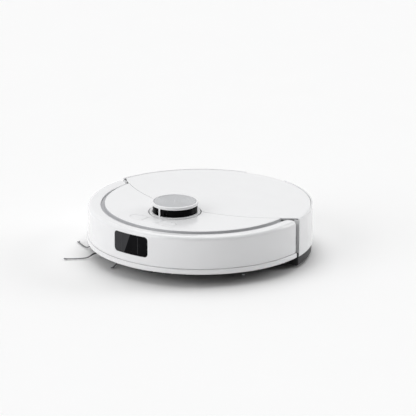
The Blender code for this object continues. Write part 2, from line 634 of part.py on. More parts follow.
def make_fan():
    housing = turned("fan_housing", [
        (0.0130, 0.0600), (FAN_R, 0.0600), (FAN_R, 0.0320), (0.0045, 0.0320), (0.0045, 0.0350),
        (FAN_R - 0.002, 0.0350), (FAN_R - 0.002, 0.0570), (0.0130, 0.0570),
    ], "dark_plastic", FAN_XY, 32)
    x, y = FAN_XY
    cut(housing, box("cut_fan_outlet", (x - 0.010, y + 0.015, 0.040), (x + 0.010, y + 0.04, 0.052)))
    impeller = turned("fan_impeller", [(0, 0.0550), (0.0040, 0.0550), (0.0070, 0.0400), (0.0210, 0.0380),
                                       (0.0210, 0.0360), (0, 0.0360)], "grey_plastic", FAN_XY, SMALL)
    blades = slab("add_blades", star(FAN_BLADES, 0.0055, 0.0205, 5.0), 0.0370, 0.0520)
    combine(impeller, move_mesh(blades, Matrix.Translation((x, y, 0))), "UNION")
    on_joint("fan_axis", (x, y, 0.045), [impeller])


def make_cliff_sensors():
    for side in (1, -1):
        for number, (x, y) in enumerate(CLIFF_SENSORS, 1):
            rod(f"cliff_sensor_{side_name(side)}_{number}", 0.0050, (side * x, y, 0.0102),
                (side * x, y, 0.0160), "black_glass", sides=16)


# ---- Mop ---------------------------------------------------------------------------------------
def make_mop():
    low, high = MOP_Z
    bracket = turned("mop_bracket", [
        (0, high), (0.1660, high), (0.1660, 0.0225), (0.1715, 0.0225), (MOP_R, 0.0200),
        (MOP_R, 0.0060), (MOP_R - 0.0025, low), (0, low),
    ], "dark_plastic")
    cut(bracket, box("cut_bracket_front", (-0.2, -0.2, 0.0), (0.2, 0.022, 0.05)))
    cut(bracket, box("cut_bracket_middle", (-0.131, -0.1, -0.001), (0.131, 0.054, 0.051)))
    cloth = turned("mop_cloth", [(0, low - GAP), (CLOTH_R - 0.001, low - GAP), (CLOTH_R, 0.0018),
                                 (CLOTH_R - 0.001, 0.0), (0, 0.0)], "mop_fabric")
    cut(cloth, box("cut_cloth", (-0.2, -0.2, -0.01), (0.2, CLOTH_FRONT_Y, 0.01)))


def main():
    make_pan()
    make_chassis_ring()
    make_deck()
    make_rear_shell()
    make_front_plate()
    make_lid()
    make_buttons()
    make_bumper()
    make_turret()
    for side in (1, -1):
        make_drive_wheel(side)
    make_caster()
    make_main_brush()
    make_side_brush()
    make_dust_bin()
    make_fan()
    make_cliff_sensors()
    make_mop()


clear_scene()
PARTS = collection("robot_vacuum")
CUTTERS = collection("cutters")
main()
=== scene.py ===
"""Looks of the robot vacuum: its moulded shells, glass, spun metal, brushes, wheels and mop pad.

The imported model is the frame. Each sub-assembly is a class that models its pieces on the frame's
sizes, dresses them and hangs them on the body that carries them. Metres, +Z up, front at -Y.
"""

import logging
import math
from dataclasses import dataclass
from enum import Enum
from typing import Callable, Iterable, Optional, Protocol, Sequence

import bpy
from mathutils import Matrix, Vector


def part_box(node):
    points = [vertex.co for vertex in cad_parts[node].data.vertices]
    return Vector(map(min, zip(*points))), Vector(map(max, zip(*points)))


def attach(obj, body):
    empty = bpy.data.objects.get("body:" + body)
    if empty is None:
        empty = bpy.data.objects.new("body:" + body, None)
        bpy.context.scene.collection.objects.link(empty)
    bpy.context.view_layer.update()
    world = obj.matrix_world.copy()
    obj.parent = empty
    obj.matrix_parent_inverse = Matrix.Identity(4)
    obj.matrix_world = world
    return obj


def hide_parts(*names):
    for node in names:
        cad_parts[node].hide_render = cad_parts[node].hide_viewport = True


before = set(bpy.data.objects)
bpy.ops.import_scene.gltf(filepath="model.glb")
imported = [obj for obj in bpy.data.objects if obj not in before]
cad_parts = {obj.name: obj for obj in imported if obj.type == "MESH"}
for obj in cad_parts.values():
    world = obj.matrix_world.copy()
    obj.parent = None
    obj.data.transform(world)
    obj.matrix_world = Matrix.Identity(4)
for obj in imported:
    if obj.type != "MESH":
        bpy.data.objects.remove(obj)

LOG = logging.getLogger("robot_vacuum")
Profile = Sequence[tuple[float, float]]
Colour = tuple[float, float, float]


class Axis(Enum):
    """The axis that a round piece is turned about."""

    X = (1.0, 0.0, 0.0)
    Z = (0.0, 0.0, 1.0)


class Slot(Enum):
    """The record's material slots."""

    SHELL = "white_shell"
    TRIM = "white_trim"
    GLASS = "black_glass"
    DARK = "dark_plastic"
    GREY = "grey_plastic"
    METAL = "spun_metal"
    CONTACT = "contact_plate"
    TYRE = "tyre_rubber"
    BRISTLE = "bristle"
    BRUSH = "brush_rubber"
    BOARD = "circuit_board"
    BATTERY = "battery_wrap"
    FILTER = "filter_paper"
    SMOKED = "smoked_clear"
    MOP = "mop_fabric"


# ---- Node recipes ------------------------------------------------------------------------------
class Recipe:
    """A material under construction, with short names for the nodes that finishes share."""

    def __init__(self, name: str) -> None:
        """Starts a material with its shader.

        Args:
            name: The material's name.
        """
        self.material = bpy.data.materials.new(name)
        self.material.use_nodes = True
        self.tree = self.material.node_tree
        self.shader = self.tree.nodes["Principled BSDF"]

    def node(self, kind: str, **values: object) -> bpy.types.Node:
        """Adds a node.

        Args:
            kind: The node's type name, without its ShaderNode prefix.
            values: Properties to set on it.

        Returns:
            The new node.
        """
        made = self.tree.nodes.new(f"ShaderNode{kind}")
        for key, value in values.items():
            setattr(made, key, value)
        return made

    def link(self, source: bpy.types.NodeSocket, target: bpy.types.NodeSocket) -> None:
        """Joins two sockets."""
        self.tree.links.new(source, target)

    def place(self, scale: Sequence[float] = (1, 1, 1), centre: Sequence[float] = (0, 0, 0),
              turn: Sequence[float] = (0, 0, 0)) -> bpy.types.NodeSocket:
        """Object coordinates, centred, turned and stretched.

        Args:
            scale: Stretch along each axis.
            centre: The point that becomes the pattern's origin.
            turn: Euler angles of the pattern.

        Returns:
            The vector socket.
        """
        source = self.node("TexCoord")
        shift = self.node("Mapping", vector_type="POINT")
        shift.inputs["Location"].default_value = [-c for c in centre]
        mapping = self.node("Mapping", vector_type="POINT")
        mapping.inputs["Scale"].default_value = scale
        mapping.inputs["Rotation"].default_value = turn
        self.link(source.outputs["Object"], shift.inputs["Vector"])
        self.link(shift.outputs["Vector"], mapping.inputs["Vector"])
        return mapping.outputs["Vector"]

    def noise(self, scale: float, detail: float = 2.0,
              vector: Optional[bpy.types.NodeSocket] = None) -> bpy.types.NodeSocket:
        """Cloudy values from 0 to 1.

        Args:
            scale: Features per metre.
            detail: Finer layers.
            vector: Where it is read; object coordinates if left out.

        Returns:
            The factor socket.
        """
        made = self.node("TexNoise")
        made.inputs["Scale"].default_value = scale
        made.inputs["Detail"].default_value = detail
        self.link(vector or self.place(), made.inputs["Vector"])
        return made.outputs["Fac"]

    def span(self, source: bpy.types.NodeSocket, low: float, high: float,
             start: float = 0.3, end: float = 0.7) -> bpy.types.NodeSocket:
        """Maps a factor to a range.

        Args:
            source: The factor.
            low: Value at the start.
            high: Value at the end.
            start: Factor that gives the low value.
            end: Factor that gives the high value.

        Returns:
            The result socket.
        """
        made = self.node("MapRange")
        for key, value in (("From Min", start), ("From Max", end), ("To Min", low), ("To Max", high)):
            made.inputs[key].default_value = value
        self.link(source, made.inputs["Value"])
        return made.outputs["Result"]

    def blend(self, factor: bpy.types.NodeSocket, first: Colour, second: Colour) -> bpy.types.NodeSocket:
        """Mixes two colours by a factor.

        Args:
            factor: 0 gives the first colour and 1 the second.
            first: A colour.
            second: A colour.

        Returns:
            The colour socket.
        """
        made = self.node("Mix", data_type="RGBA")
        made.inputs[6].default_value = (*first, 1.0)
        made.inputs[7].default_value = (*second, 1.0)
        self.link(factor, made.inputs[0])
        return made.outputs[2]

    def bump(self, height: bpy.types.NodeSocket, depth: float, strength: float = 1.0,
             under: Optional[bpy.types.NodeSocket] = None) -> bpy.types.NodeSocket:
        """Turns heights into a normal.

        Args:
            height: The height factor.
            depth: Real depth of the relief in metres.
            strength: How much of it is seen.
            under: A normal to build on.

        Returns:
            The normal socket.
        """
        made = self.node("Bump")
        made.inputs["Distance"].default_value = depth
        made.inputs["Strength"].default_value = strength
        self.link(height, made.inputs["Height"])
        if under is not None:
            self.link(under, made.inputs["Normal"])
        return made.outputs["Normal"]

    def set(self, **values: float) -> None:
        """Sets the shader's own sockets, with underscores for the spaces in their names."""
        for key, value in values.items():
            self.shader.inputs[key.replace("_", " ")].default_value = value

    def feed(self, **sources: bpy.types.NodeSocket) -> None:
        """Links sockets to the shader's inputs, with underscores for the spaces in their names."""
        for key, source in sources.items():
            self.link(source, self.shader.inputs[key.replace("_", " ")])


class Finish(Protocol):
    """Anything that has a name and can make its material."""

    name: str

    def build(self) -> bpy.types.Material:
        """Makes the material."""


def shade(colour: Colour, factor: float) -> Colour:
    """A colour made lighter or darker by a factor."""
    return tuple(min(1.0, c * factor) for c in colour)


@dataclass(frozen=True)
class Moulding:
    """Glossy moulded plastic with faint flow clouds and an orange-peel surface."""

    name: str
    colour: Colour
    roughness: float = 0.24
    coat: float = 0.5
    cloud: float = 0.012

    def build(self) -> bpy.types.Material:
        """Makes the material.

        Returns:
            The material.
        """
        recipe = Recipe(self.name)
        clouds = recipe.noise(9.0, 3.0)
        recipe.feed(Base_Color=recipe.blend(recipe.span(clouds, 0, 1), shade(self.colour, 1 - self.cloud),
                                            self.colour))
        handling = recipe.noise(38.0, 4.0)
        recipe.feed(Roughness=recipe.span(handling, self.roughness * 0.9, self.roughness * 1.12))
        peel = recipe.noise(650.0, 1.0)
        recipe.feed(Normal=recipe.bump(peel, 0.000006, 0.5))
        recipe.set(Coat_Weight=self.coat, Coat_Roughness=0.06, IOR=1.49)
        return recipe.material


@dataclass(frozen=True)
class Texture:
    """Matte moulded plastic or rubber with a fine spark-eroded grain."""

    name: str
    colour: Colour
    roughness: float = 0.55
    grain: float = 2200.0
    depth: float = 0.00003

    def build(self) -> bpy.types.Material:
        """Makes the material.

        Returns:
            The material.
        """
        recipe = Recipe(self.name)
        dust = recipe.noise(30.0, 5.0)
        recipe.feed(Base_Color=recipe.blend(recipe.span(dust, 0, 1), shade(self.colour, 0.86),
                                            shade(self.colour, 1.16)))
        rub = recipe.noise(75.0, 3.0)
        recipe.feed(Roughness=recipe.span(rub, self.roughness - 0.07, self.roughness + 0.08))
        grain = recipe.noise(self.grain, 2.0)
        recipe.feed(Normal=recipe.bump(grain, self.depth, 0.6))
        return recipe.material


@dataclass(frozen=True)
class BlackGlass:
    """Polished black plastic that infrared light passes, with a painted reflection: a lighter patch over one
    side of a slanted line.
    """

    name: str
    colour: Colour = (0.004, 0.004, 0.0045)
    roughness: float = 0.08
    reflection_tint: Colour = (0.0, 0.0, 0.0)
    edge: float = 0.0
    middle: float = 0.055
    slant: float = 0.0

    def build(self) -> bpy.types.Material:
        """Makes the material.

        Returns:
            The material.
        """
        recipe = Recipe(self.name)
        depth = recipe.noise(55.0, 2.0)
        base = recipe.blend(recipe.span(depth, 0, 1), self.colour, shade(self.colour, 1.8))
        # A lighter patch painted into the colour stands in for a reflection on the glass.
        if any(self.reflection_tint):
            base = self.add_painted_reflection(recipe, base)
        recipe.feed(Base_Color=base)
        wipe = recipe.noise(90.0, 4.0, recipe.place((1.0, 1.0, 0.25)))
        recipe.feed(Roughness=recipe.span(wipe, self.roughness * 0.7, self.roughness * 1.6))
        recipe.set(IOR=1.49, Specular_IOR_Level=0.03)
        return recipe.material

    def add_painted_reflection(self, recipe: Recipe, base: bpy.types.NodeSocket) -> bpy.types.NodeSocket:
        """Paints a reflection: lightens the glass's colour on one side of a slanted line.

        Args:
            recipe: The material under construction.
            base: The colour of the rest.

        Returns:
            The colour socket.
        """
        parts = recipe.node("SeparateXYZ")
        line = recipe.place(turn=(0.0, self.slant, 0.0), centre=(self.edge, 0.0, self.middle))
        recipe.link(line, parts.inputs[0])
        side = recipe.span(parts.outputs["X"], 1.0, 0.0, -0.0004, 0.0004)
        fade = recipe.span(parts.outputs["X"], 0.85, 1.0, -0.03, 0.0)
        strength = recipe.node("Math", operation="MULTIPLY")
        recipe.link(side, strength.inputs[0])
        recipe.link(fade, strength.inputs[1])
        made = recipe.node("Mix", data_type="RGBA")
        made.inputs[7].default_value = (*self.reflection_tint, 1.0)
        recipe.link(strength.outputs[0], made.inputs[0])
        recipe.link(base, made.inputs[6])
        return made.outputs[2]


@dataclass(frozen=True)
class SpunMetal:
    """Aluminium faced on a lathe: fine rings round a centre, with the glow spread across them."""

    name: str
    centre: tuple[float, float, float]
    colour: Colour = (0.70, 0.71, 0.73)
    roughness: float = 0.20

    def build(self) -> bpy.types.Material:
        """Makes the material.

        Returns:
            The material.
        """
        recipe = Recipe(self.name)
        place = recipe.place(centre=self.centre)
        length = recipe.node("VectorMath", operation="LENGTH")
        recipe.link(place, length.inputs[0])
        rings = recipe.node("TexNoise", noise_dimensions="1D")
        rings.inputs["Scale"].default_value = 2600.0
        rings.inputs["Detail"].default_value = 4.0
        recipe.link(length.outputs["Value"], rings.inputs["W"])
        recipe.feed(Base_Color=recipe.blend(rings.outputs["Fac"], shade(self.colour, 0.90), self.colour))
        recipe.feed(Roughness=recipe.span(rings.outputs["Fac"], self.roughness * 0.85, self.roughness * 1.2))
        recipe.feed(Normal=recipe.bump(rings.outputs["Fac"], 0.000004, 0.2))
        tangent = recipe.node("VectorMath", operation="CROSS_PRODUCT")
        tangent.inputs[1].default_value = (0.0, 0.0, 1.0)
        recipe.link(place, tangent.inputs[0])
        recipe.feed(Tangent=tangent.outputs["Vector"])
        recipe.set(Metallic=1.0, Anisotropic=0.95)
        return recipe.material


@dataclass(frozen=True)
class Plated:
    """Plated contact metal with faint wipe marks."""

    name: str
    colour: Colour = (0.86, 0.72, 0.44)

    def build(self) -> bpy.types.Material:
        """Makes the material.

        Returns:
            The material.
        """
        recipe = Recipe(self.name)
        marks = recipe.noise(160.0, 4.0, recipe.place((0.2, 1.0, 3.0)))
        recipe.feed(Base_Color=recipe.blend(recipe.span(marks, 0, 1), shade(self.colour, 0.82), self.colour))
        recipe.feed(Roughness=recipe.span(marks, 0.18, 0.38))
        recipe.set(Metallic=1.0)
        return recipe.material


@dataclass(frozen=True)
class Fibre:
    """Bristle or cloth fibre, streaked along one axis."""

    name: str
    colour: Colour
    stretch: tuple[float, float, float] = (1.0, 1.0, 1.0)
    strand: float = 2400.0
    depth: float = 0.00012

    def build(self) -> bpy.types.Material:
        """Makes the material.

        Returns:
            The material.
        """
        recipe = Recipe(self.name)
        place = recipe.place(self.stretch)
        strands = recipe.noise(self.strand, 3.0, place)
        tone = recipe.noise(60.0, 2.0)
        mixed = recipe.node("Math", operation="MULTIPLY")
        recipe.link(strands, mixed.inputs[0])
        recipe.link(recipe.span(tone, 0.8, 1.2), mixed.inputs[1])
        recipe.feed(Base_Color=recipe.blend(recipe.span(mixed.outputs[0], 0, 1), shade(self.colour, 0.7),
                                            shade(self.colour, 1.25)))
        recipe.feed(Normal=recipe.bump(strands, self.depth, 0.7))
        recipe.set(Roughness=0.85, Sheen_Weight=0.25, Sheen_Roughness=0.5)
        return recipe.material


@dataclass(frozen=True)
class LoopPile:
    """Microfibre mop cloth: small twisted loops in rows, with painted shade darkening the hollows between the
    loops.
    """

    name: str
    colour: Colour = (0.40, 0.41, 0.43)
    loops: float = 420.0

    def build(self) -> bpy.types.Material:
        """Makes the material.

        Returns:
            The material.
        """
        recipe = Recipe(self.name)
        cells = recipe.node("TexVoronoi", feature="F1")
        cells.inputs["Scale"].default_value = self.loops
        recipe.link(recipe.place(), cells.inputs["Vector"])
        height = recipe.span(cells.outputs["Distance"], 1.0, 0.0, 0.0, 0.7)
        patch = recipe.noise(45.0, 3.0)
        # Painted shade: the colour darkens where the loops fall low, between them.
        recipe.feed(Base_Color=recipe.blend(height, shade(self.colour, 0.45), shade(self.colour, 1.2)))
        recipe.feed(Normal=recipe.bump(height, 0.0006, 0.8))
        recipe.feed(Roughness=recipe.span(patch, 0.86, 0.98))
        recipe.set(Sheen_Weight=0.4)
        return recipe.material


@dataclass(frozen=True)
class Smoked:
    """See-through smoked plastic of the dust bin."""

    name: str
    colour: Colour = (0.30, 0.32, 0.34)

    def build(self) -> bpy.types.Material:
        """Makes the material.

        Returns:
            The material.
        """
        recipe = Recipe(self.name)
        haze = recipe.noise(24.0, 4.0)
        recipe.feed(Base_Color=recipe.blend(recipe.span(haze, 0, 1), self.colour, shade(self.colour, 1.3)))
        recipe.feed(Roughness=recipe.span(haze, 0.12, 0.3))
        recipe.set(Transmission_Weight=0.45, IOR=1.49, Coat_Weight=0.3)
        return recipe.material


@dataclass(frozen=True)
class Pleats:
    """Folded filter paper, with painted shade darkening the valleys of the folds."""

    name: str
    colour: Colour = (0.84, 0.82, 0.76)
    pitch: float = 0.0032

    def build(self) -> bpy.types.Material:
        """Makes the material.

        Returns:
            The material.
        """
        recipe = Recipe(self.name)
        fold_height_and_shade = recipe.node("TexWave", wave_type="BANDS", bands_direction="X", wave_profile="TRI")
        fold_height_and_shade.inputs["Scale"].default_value = 0.05 / self.pitch * 6.28
        recipe.link(recipe.place(), fold_height_and_shade.inputs["Vector"])
        # Painted shade: the colour darkens towards the valleys of the folds.
        recipe.feed(Base_Color=recipe.blend(fold_height_and_shade.outputs["Fac"], shade(self.colour, 0.6), self.colour))
        recipe.feed(Normal=recipe.bump(fold_height_and_shade.outputs["Fac"], 0.001, 0.8))
        recipe.set(Roughness=0.95)
        return recipe.material


@dataclass(frozen=True)
class Laminate:
    """Green circuit board with brighter copper runs under the lacquer."""

    name: str
    colour: Colour = (0.02, 0.13, 0.06)

    def build(self) -> bpy.types.Material:
        """Makes the material.

        Returns:
            The material.
        """
        recipe = Recipe(self.name)
        runs = recipe.node("TexBrick")
        runs.inputs["Scale"].default_value = 90.0
        runs.inputs["Mortar Size"].default_value = 0.06
        recipe.link(recipe.place(), runs.inputs["Vector"])
        recipe.feed(Base_Color=recipe.blend(runs.outputs["Fac"], self.colour, shade(self.colour, 2.4)))
        recipe.feed(Roughness=recipe.span(recipe.noise(50.0), 0.3, 0.45))
        recipe.set(Coat_Weight=0.4)
        return recipe.material


# ---- Modelling bench ---------------------------------------------------------------------------
class Bench:
    """Modelling steps by operator, as by hand."""

    @staticmethod
    def rest() -> None:
        """Leaves edit mode and deselects everything."""
        if bpy.context.object and bpy.context.object.mode != "OBJECT":
            bpy.ops.object.mode_set(mode="OBJECT")
        bpy.ops.object.select_all(action="DESELECT")

    @staticmethod
    def take(piece: bpy.types.Object) -> bpy.types.Object:
        """Makes a piece the only selected and the active one.

        Args:
            piece: The piece.

        Returns:
            The piece.
        """
        Bench.rest()
        piece.select_set(True)
        bpy.context.view_layer.objects.active = piece
        return piece

    @staticmethod
    def begin(name: str) -> bpy.types.Object:
        """Names the primitive that was just added, and puts its place into its mesh.

        Args:
            name: The piece's name.

        Returns:
            The piece.
        """
        piece = bpy.context.object
        piece.name = piece.data.name = name
        bpy.ops.object.transform_apply(location=True, rotation=True, scale=True)
        return piece

    @staticmethod
    def edit(piece: bpy.types.Object) -> None:
        """Opens a piece in edit mode with all of it selected.

        Args:
            piece: The piece.
        """
        Bench.take(piece)
        bpy.ops.object.mode_set(mode="EDIT")
        bpy.ops.mesh.select_all(action="SELECT")

    @staticmethod
    def pick(piece: bpy.types.Object, wanted: Callable[[bpy.types.MeshPolygon], bool]) -> None:
        """Opens a piece in edit mode with only some faces selected.

        Args:
            piece: The piece.
            wanted: Says of a face whether it is selected.
        """
        Bench.edit(piece)
        bpy.ops.mesh.select_all(action="DESELECT")
        bpy.ops.mesh.select_mode(type="FACE")
        bpy.ops.object.mode_set(mode="OBJECT")
        for face in piece.data.polygons:
            face.select = wanted(face)
        bpy.ops.object.mode_set(mode="EDIT")

    @staticmethod
    def smooth(piece: bpy.types.Object, angle: float = 32.0) -> bpy.types.Object:
        """Shades a piece smooth, with creases.

        Args:
            piece: The piece.
            angle: Edges sharper than this, in degrees, stay creased.

        Returns:
            The piece.
        """
        Bench.take(piece)
        bpy.ops.object.shade_smooth_by_angle(angle=math.radians(angle))
        Bench.rest()
        return piece

    @staticmethod
    def apply(piece: bpy.types.Object, kind: str, **settings: object) -> bpy.types.Object:
        """Adds a modifier and applies it.

        Args:
            piece: The piece.
            kind: The modifier's type.
            settings: Its settings.

        Returns:
            The piece.
        """
        modifier = piece.modifiers.new(kind.title(), kind)
        for key, value in settings.items():
            setattr(modifier, key, value)
        Bench.take(piece)
        bpy.ops.object.modifier_apply(modifier=modifier.name)
        Bench.rest()
        return piece

    @staticmethod
    def carve(piece: bpy.types.Object, *cutters: bpy.types.Object,
              operation: str = "DIFFERENCE") -> bpy.types.Object:
        """Cuts, joins or intersects a piece with others, which are used up.

        Args:
            piece: The piece.
            cutters: The others.
            operation: The Boolean modifier's operation.

        Returns:
            The piece.
        """
        for cutter in cutters:
            Bench.apply(piece, "BOOLEAN", object=cutter, operation=operation, solver="EXACT")
            bpy.data.objects.remove(cutter)
        return piece

    @staticmethod
    def soften(piece: bpy.types.Object, width: float, segments: int = 2, angle: float = 35.0,
               weld: float = 0.00002) -> bpy.types.Object:
        """Rounds a piece's sharp edges.

        Args:
            piece: The piece.
            width: How far the rounding reaches.
            segments: Steps across it.
            angle: Edges sharper than this, in degrees, are rounded.
            weld: Points closer than this are merged first.

        Returns:
            The piece.
        """
        Bench.apply(piece, "WELD", merge_threshold=weld)
        Bench.apply(piece, "BEVEL", width=width, segments=segments, limit_method="ANGLE",
                    angle_limit=math.radians(angle), use_clamp_overlap=True)
        return Bench.even(piece)

    @staticmethod
    def even(piece: bpy.types.Object) -> bpy.types.Object:
        """Shades a piece so that its large faces stay flat and only its roundings turn."""
        Bench.smooth(piece)
        return Bench.apply(piece, "WEIGHTED_NORMAL", weight=100, keep_sharp=True)

    @staticmethod
    def outline(points: Profile) -> bpy.types.Object:
        """Draws a chain of edges in the XZ plane by extruding a point.

        Args:
            points: The chain's points, as (X, Z).

        Returns:
            The chain.
        """
        Bench.rest()
        bpy.ops.mesh.primitive_plane_add(size=0.001, location=(0, 0, 0))
        piece = bpy.context.object
        bpy.ops.object.mode_set(mode="EDIT")
        bpy.ops.mesh.select_mode(type="VERT")
        bpy.ops.mesh.select_all(action="SELECT")
        bpy.ops.mesh.merge(type="CENTER")
        chain = [Vector((x, 0.0, z)) for x, z in points]
        bpy.ops.transform.translate(value=chain[0])
        for here, there in zip(chain, chain[1:]):
            bpy.ops.mesh.extrude_region_move(TRANSFORM_OT_translate={"value": tuple(there - here)})
        bpy.ops.object.mode_set(mode="OBJECT")
        return piece

    @staticmethod
    def close_chain(piece: bpy.types.Object) -> None:
        """Joins a chain's two ends.

        Args:
            piece: The chain.
        """
        ends = (0, len(piece.data.vertices) - 1)
        for index, vertex in enumerate(piece.data.vertices):
            vertex.select = index in ends
        bpy.ops.object.mode_set(mode="EDIT")
        bpy.ops.mesh.edge_face_add()
        bpy.ops.object.mode_set(mode="OBJECT")

    @staticmethod
    def turned(name: str, profile: Profile, steps: int = 180, centre: Sequence[float] = (0.0, 0.0, 0.0),
               axis: Axis = Axis.Z, bearings: Optional[tuple[float, float]] = None,
               angle: float = 32.0) -> bpy.types.Object:
        """Spins a profile of (radius, height) points.

        Args:
            name: The piece's name.
            profile: The points; a closed ring where the first isn't on the axis.
            steps: Steps of the spin.
            centre: Where the axis stands.
            axis: The axis it is spun about; along X a height counts along +X.
            bearings: Start and end for a part turn, counted from -Y towards +X, in degrees.
            angle: Edges sharper than this, in degrees, stay creased.

        Returns:
            The piece.
        """
        piece = Bench.outline(profile)
        if profile[0][0] > 1e-7:
            Bench.close_chain(piece)
        start, end = bearings or (90.0, 450.0)
        Bench.edit(piece)
        bpy.ops.mesh.spin(steps=steps, dupli=False, angle=math.radians(end - start), center=(0, 0, 0),
                          axis=(0, 0, -1))
        bpy.ops.mesh.select_all(action="SELECT")
        bpy.ops.mesh.remove_doubles(threshold=0.000002)
        if bearings:
            bpy.ops.mesh.fill_holes(sides=0)
        bpy.ops.mesh.select_all(action="SELECT")
        bpy.ops.mesh.normals_make_consistent(inside=False)
        Bench.rest()
        place = Matrix.Rotation(math.radians(start - 90.0), 4, "Z")
        if axis is Axis.X:
            place = Matrix.Rotation(math.pi / 2, 4, "Y")
        piece.data.transform(Matrix.Translation(centre) @ place)
        piece.name = piece.data.name = name
        return Bench.smooth(piece, angle)

    @staticmethod
    def bar(name: str, low: Sequence[float], high: Sequence[float], rounding: float = 0.0003,
            segments: int = 2) -> bpy.types.Object:
        """A block between two corners with rounded edges.

        Args:
            name: The piece's name.
            low: Its lowest corner.
            high: Its highest corner.
            rounding: Rounding of its edges.
            segments: Steps across the rounding.

        Returns:
            The piece.
        """
        Bench.rest()
        low, high = Vector(low), Vector(high)
        bpy.ops.mesh.primitive_cube_add(size=1.0, location=(low + high) / 2, scale=high - low)
        piece = Bench.begin(name)
        if rounding:
            Bench.edit(piece)
            bpy.ops.mesh.bevel(offset=rounding, segments=segments, affect="EDGES")
        return Bench.smooth(piece)

    @staticmethod
    def peg(name: str, radius: float, start: Sequence[float], end: Sequence[float], sides: int = 48,
            rounding: float = 0.0) -> bpy.types.Object:
        """A round bar between two points, with its rims rounded if asked.

        Args:
            name: The piece's name.
            radius: Its radius.
            start: The middle of one end.
            end: The middle of the other end.
            sides: Sides of its section.
            rounding: Rounding of its rims.

        Returns:
            The piece.
        """
        Bench.rest()
        start, end = Vector(start), Vector(end)
        turn = Vector((0, 0, 1)).rotation_difference(end - start).to_euler()
        bpy.ops.mesh.primitive_cylinder_add(vertices=sides, radius=radius, depth=(end - start).length,
                                            location=(start + end) / 2, rotation=turn)
        piece = Bench.begin(name)
        if rounding:
            Bench.apply(piece, "BEVEL", width=rounding, segments=2, limit_method="ANGLE",
                        angle_limit=math.radians(50))
        return Bench.smooth(piece)

    @staticmethod
    def plate(name: str, width: float, height: float, corner: float, thickness: float,
              edge: float = 0.0, corner_steps: int = 8) -> bpy.types.Object:
        """A flat plate with round corners, lying in XY, its top face at Z = 0.

        Args:
            name: The piece's name.
            width: Size along X.
            height: Size along Y.
            corner: Radius of its corners.
            thickness: How far it reaches below Z = 0.
            edge: Rounding of the top rim.
            corner_steps: Steps round each corner.

        Returns:
            The piece.
        """
        Bench.rest()
        bpy.ops.mesh.primitive_plane_add(size=1.0, location=(0, 0, 0))
        piece = Bench.begin(name)
        Bench.edit(piece)
        bpy.ops.transform.resize(value=(width, height, 1.0))
        bpy.ops.mesh.bevel(offset=corner, segments=corner_steps, affect="VERTICES")
        bpy.ops.mesh.select_all(action="SELECT")
        bpy.ops.mesh.extrude_region_move(TRANSFORM_OT_translate={"value": (0, 0, -thickness)})
        bpy.ops.mesh.select_all(action="SELECT")
        bpy.ops.mesh.remove_doubles(threshold=0.000002)
        bpy.ops.mesh.normals_make_consistent(inside=False)
        if edge:
            Bench.pick(piece, lambda face: face.normal.z > 0.9)
            bpy.ops.mesh.bevel(offset=edge, segments=3, affect="EDGES")
        Bench.rest()
        return piece

    @staticmethod
    def slice(piece: bpy.types.Object, normal: Sequence[float], places: Iterable[float]) -> bpy.types.Object:
        """Adds cuts across a piece, so that it can bend.

        Args:
            piece: The piece.
            normal: The direction across which it is cut.
            places: The distances along that direction.

        Returns:
            The piece.
        """
        Bench.edit(piece)
        for place in places:
            bpy.ops.mesh.select_all(action="SELECT")
            bpy.ops.mesh.bisect(plane_co=tuple(Vector(normal) * place), plane_no=normal)
        Bench.rest()
        return piece

    @staticmethod
    def shape(piece: bpy.types.Object, rule: Callable[[Vector], Vector]) -> bpy.types.Object:
        """Moves every point of a piece by a rule.

        Args:
            piece: The piece.
            rule: Gives a point's new place.

        Returns:
            The piece.
        """
        for vertex in piece.data.vertices:
            vertex.co = rule(vertex.co.copy())
        piece.data.update()
        return piece

    @staticmethod
    def move(piece: bpy.types.Object, matrix: Matrix) -> bpy.types.Object:
        """Places a piece's mesh, and keeps its faces outwards where the placing mirrors it.

        Args:
            piece: The piece.
            matrix: The placing.

        Returns:
            The piece.
        """
        piece.data.transform(matrix)
        if matrix.determinant() < 0:
            piece.data.flip_normals()
        return piece

    @staticmethod
    def join(name: str, pieces: Sequence[bpy.types.Object]) -> bpy.types.Object:
        """Joins pieces of one finish into one object.

        Args:
            name: The new object's name.
            pieces: The pieces.

        Returns:
            The object.
        """
        Bench.rest()
        for piece in pieces:
            piece.select_set(True)
        bpy.context.view_layer.objects.active = pieces[0]
        if len(pieces) > 1:
            bpy.ops.object.join()
        joined = bpy.context.object
        joined.name = joined.data.name = name
        Bench.rest()
        return joined

    @staticmethod
    def spread(piece: bpy.types.Object, places: Sequence[Matrix]) -> list[bpy.types.Object]:
        """Copies a modelled piece to several places; the model is used up.

        Args:
            piece: The modelled piece.
            places: Where the copies go.

        Returns:
            The copies, each with its own mesh.
        """
        made = []
        for place in places:
            copy = piece.copy()
            copy.data = piece.data.copy()
            bpy.context.scene.collection.objects.link(copy)
            made.append(Bench.move(copy, place))
        bpy.data.objects.remove(piece)
        return made

    @staticmethod
    def copies(piece: bpy.types.Object, places: Sequence[Matrix], name: str) -> bpy.types.Object:
        """Copies a modelled piece to several places and joins the copies; the model is used up."""
        return Bench.join(name, Bench.spread(piece, places))

    @staticmethod
    def from_frame(node: str, name: str, rounding: float = 0.0004, angle: float = 40.0) -> bpy.types.Object:
        """A copy of a frame node with merged points, rounded edges and smooth shading.

        Args:
            node: The frame's node.
            name: The new piece's name.
            rounding: Rounding of its edges.
            angle: Edges sharper than this, in degrees, are rounded.

        Returns:
            The piece.
        """
        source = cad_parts[node]
        piece = bpy.data.objects.new(name, source.data.copy())
        bpy.context.scene.collection.objects.link(piece)
        Bench.edit(piece)
        bpy.ops.mesh.remove_doubles(threshold=0.000005)
        bpy.ops.mesh.dissolve_limited(angle_limit=math.radians(1.0))
        Bench.rest()
        piece.data.materials.clear()
        if rounding:
            Bench.apply(piece, "BEVEL", width=rounding, segments=2, limit_method="ANGLE",
                        angle_limit=math.radians(angle), use_clamp_overlap=True)
        return Bench.even(piece)


def corners(node: str) -> tuple[Vector, Vector]:
    """A frame node's lowest and highest corners at rest."""
    low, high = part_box(node)
    return Vector(low), Vector(high)


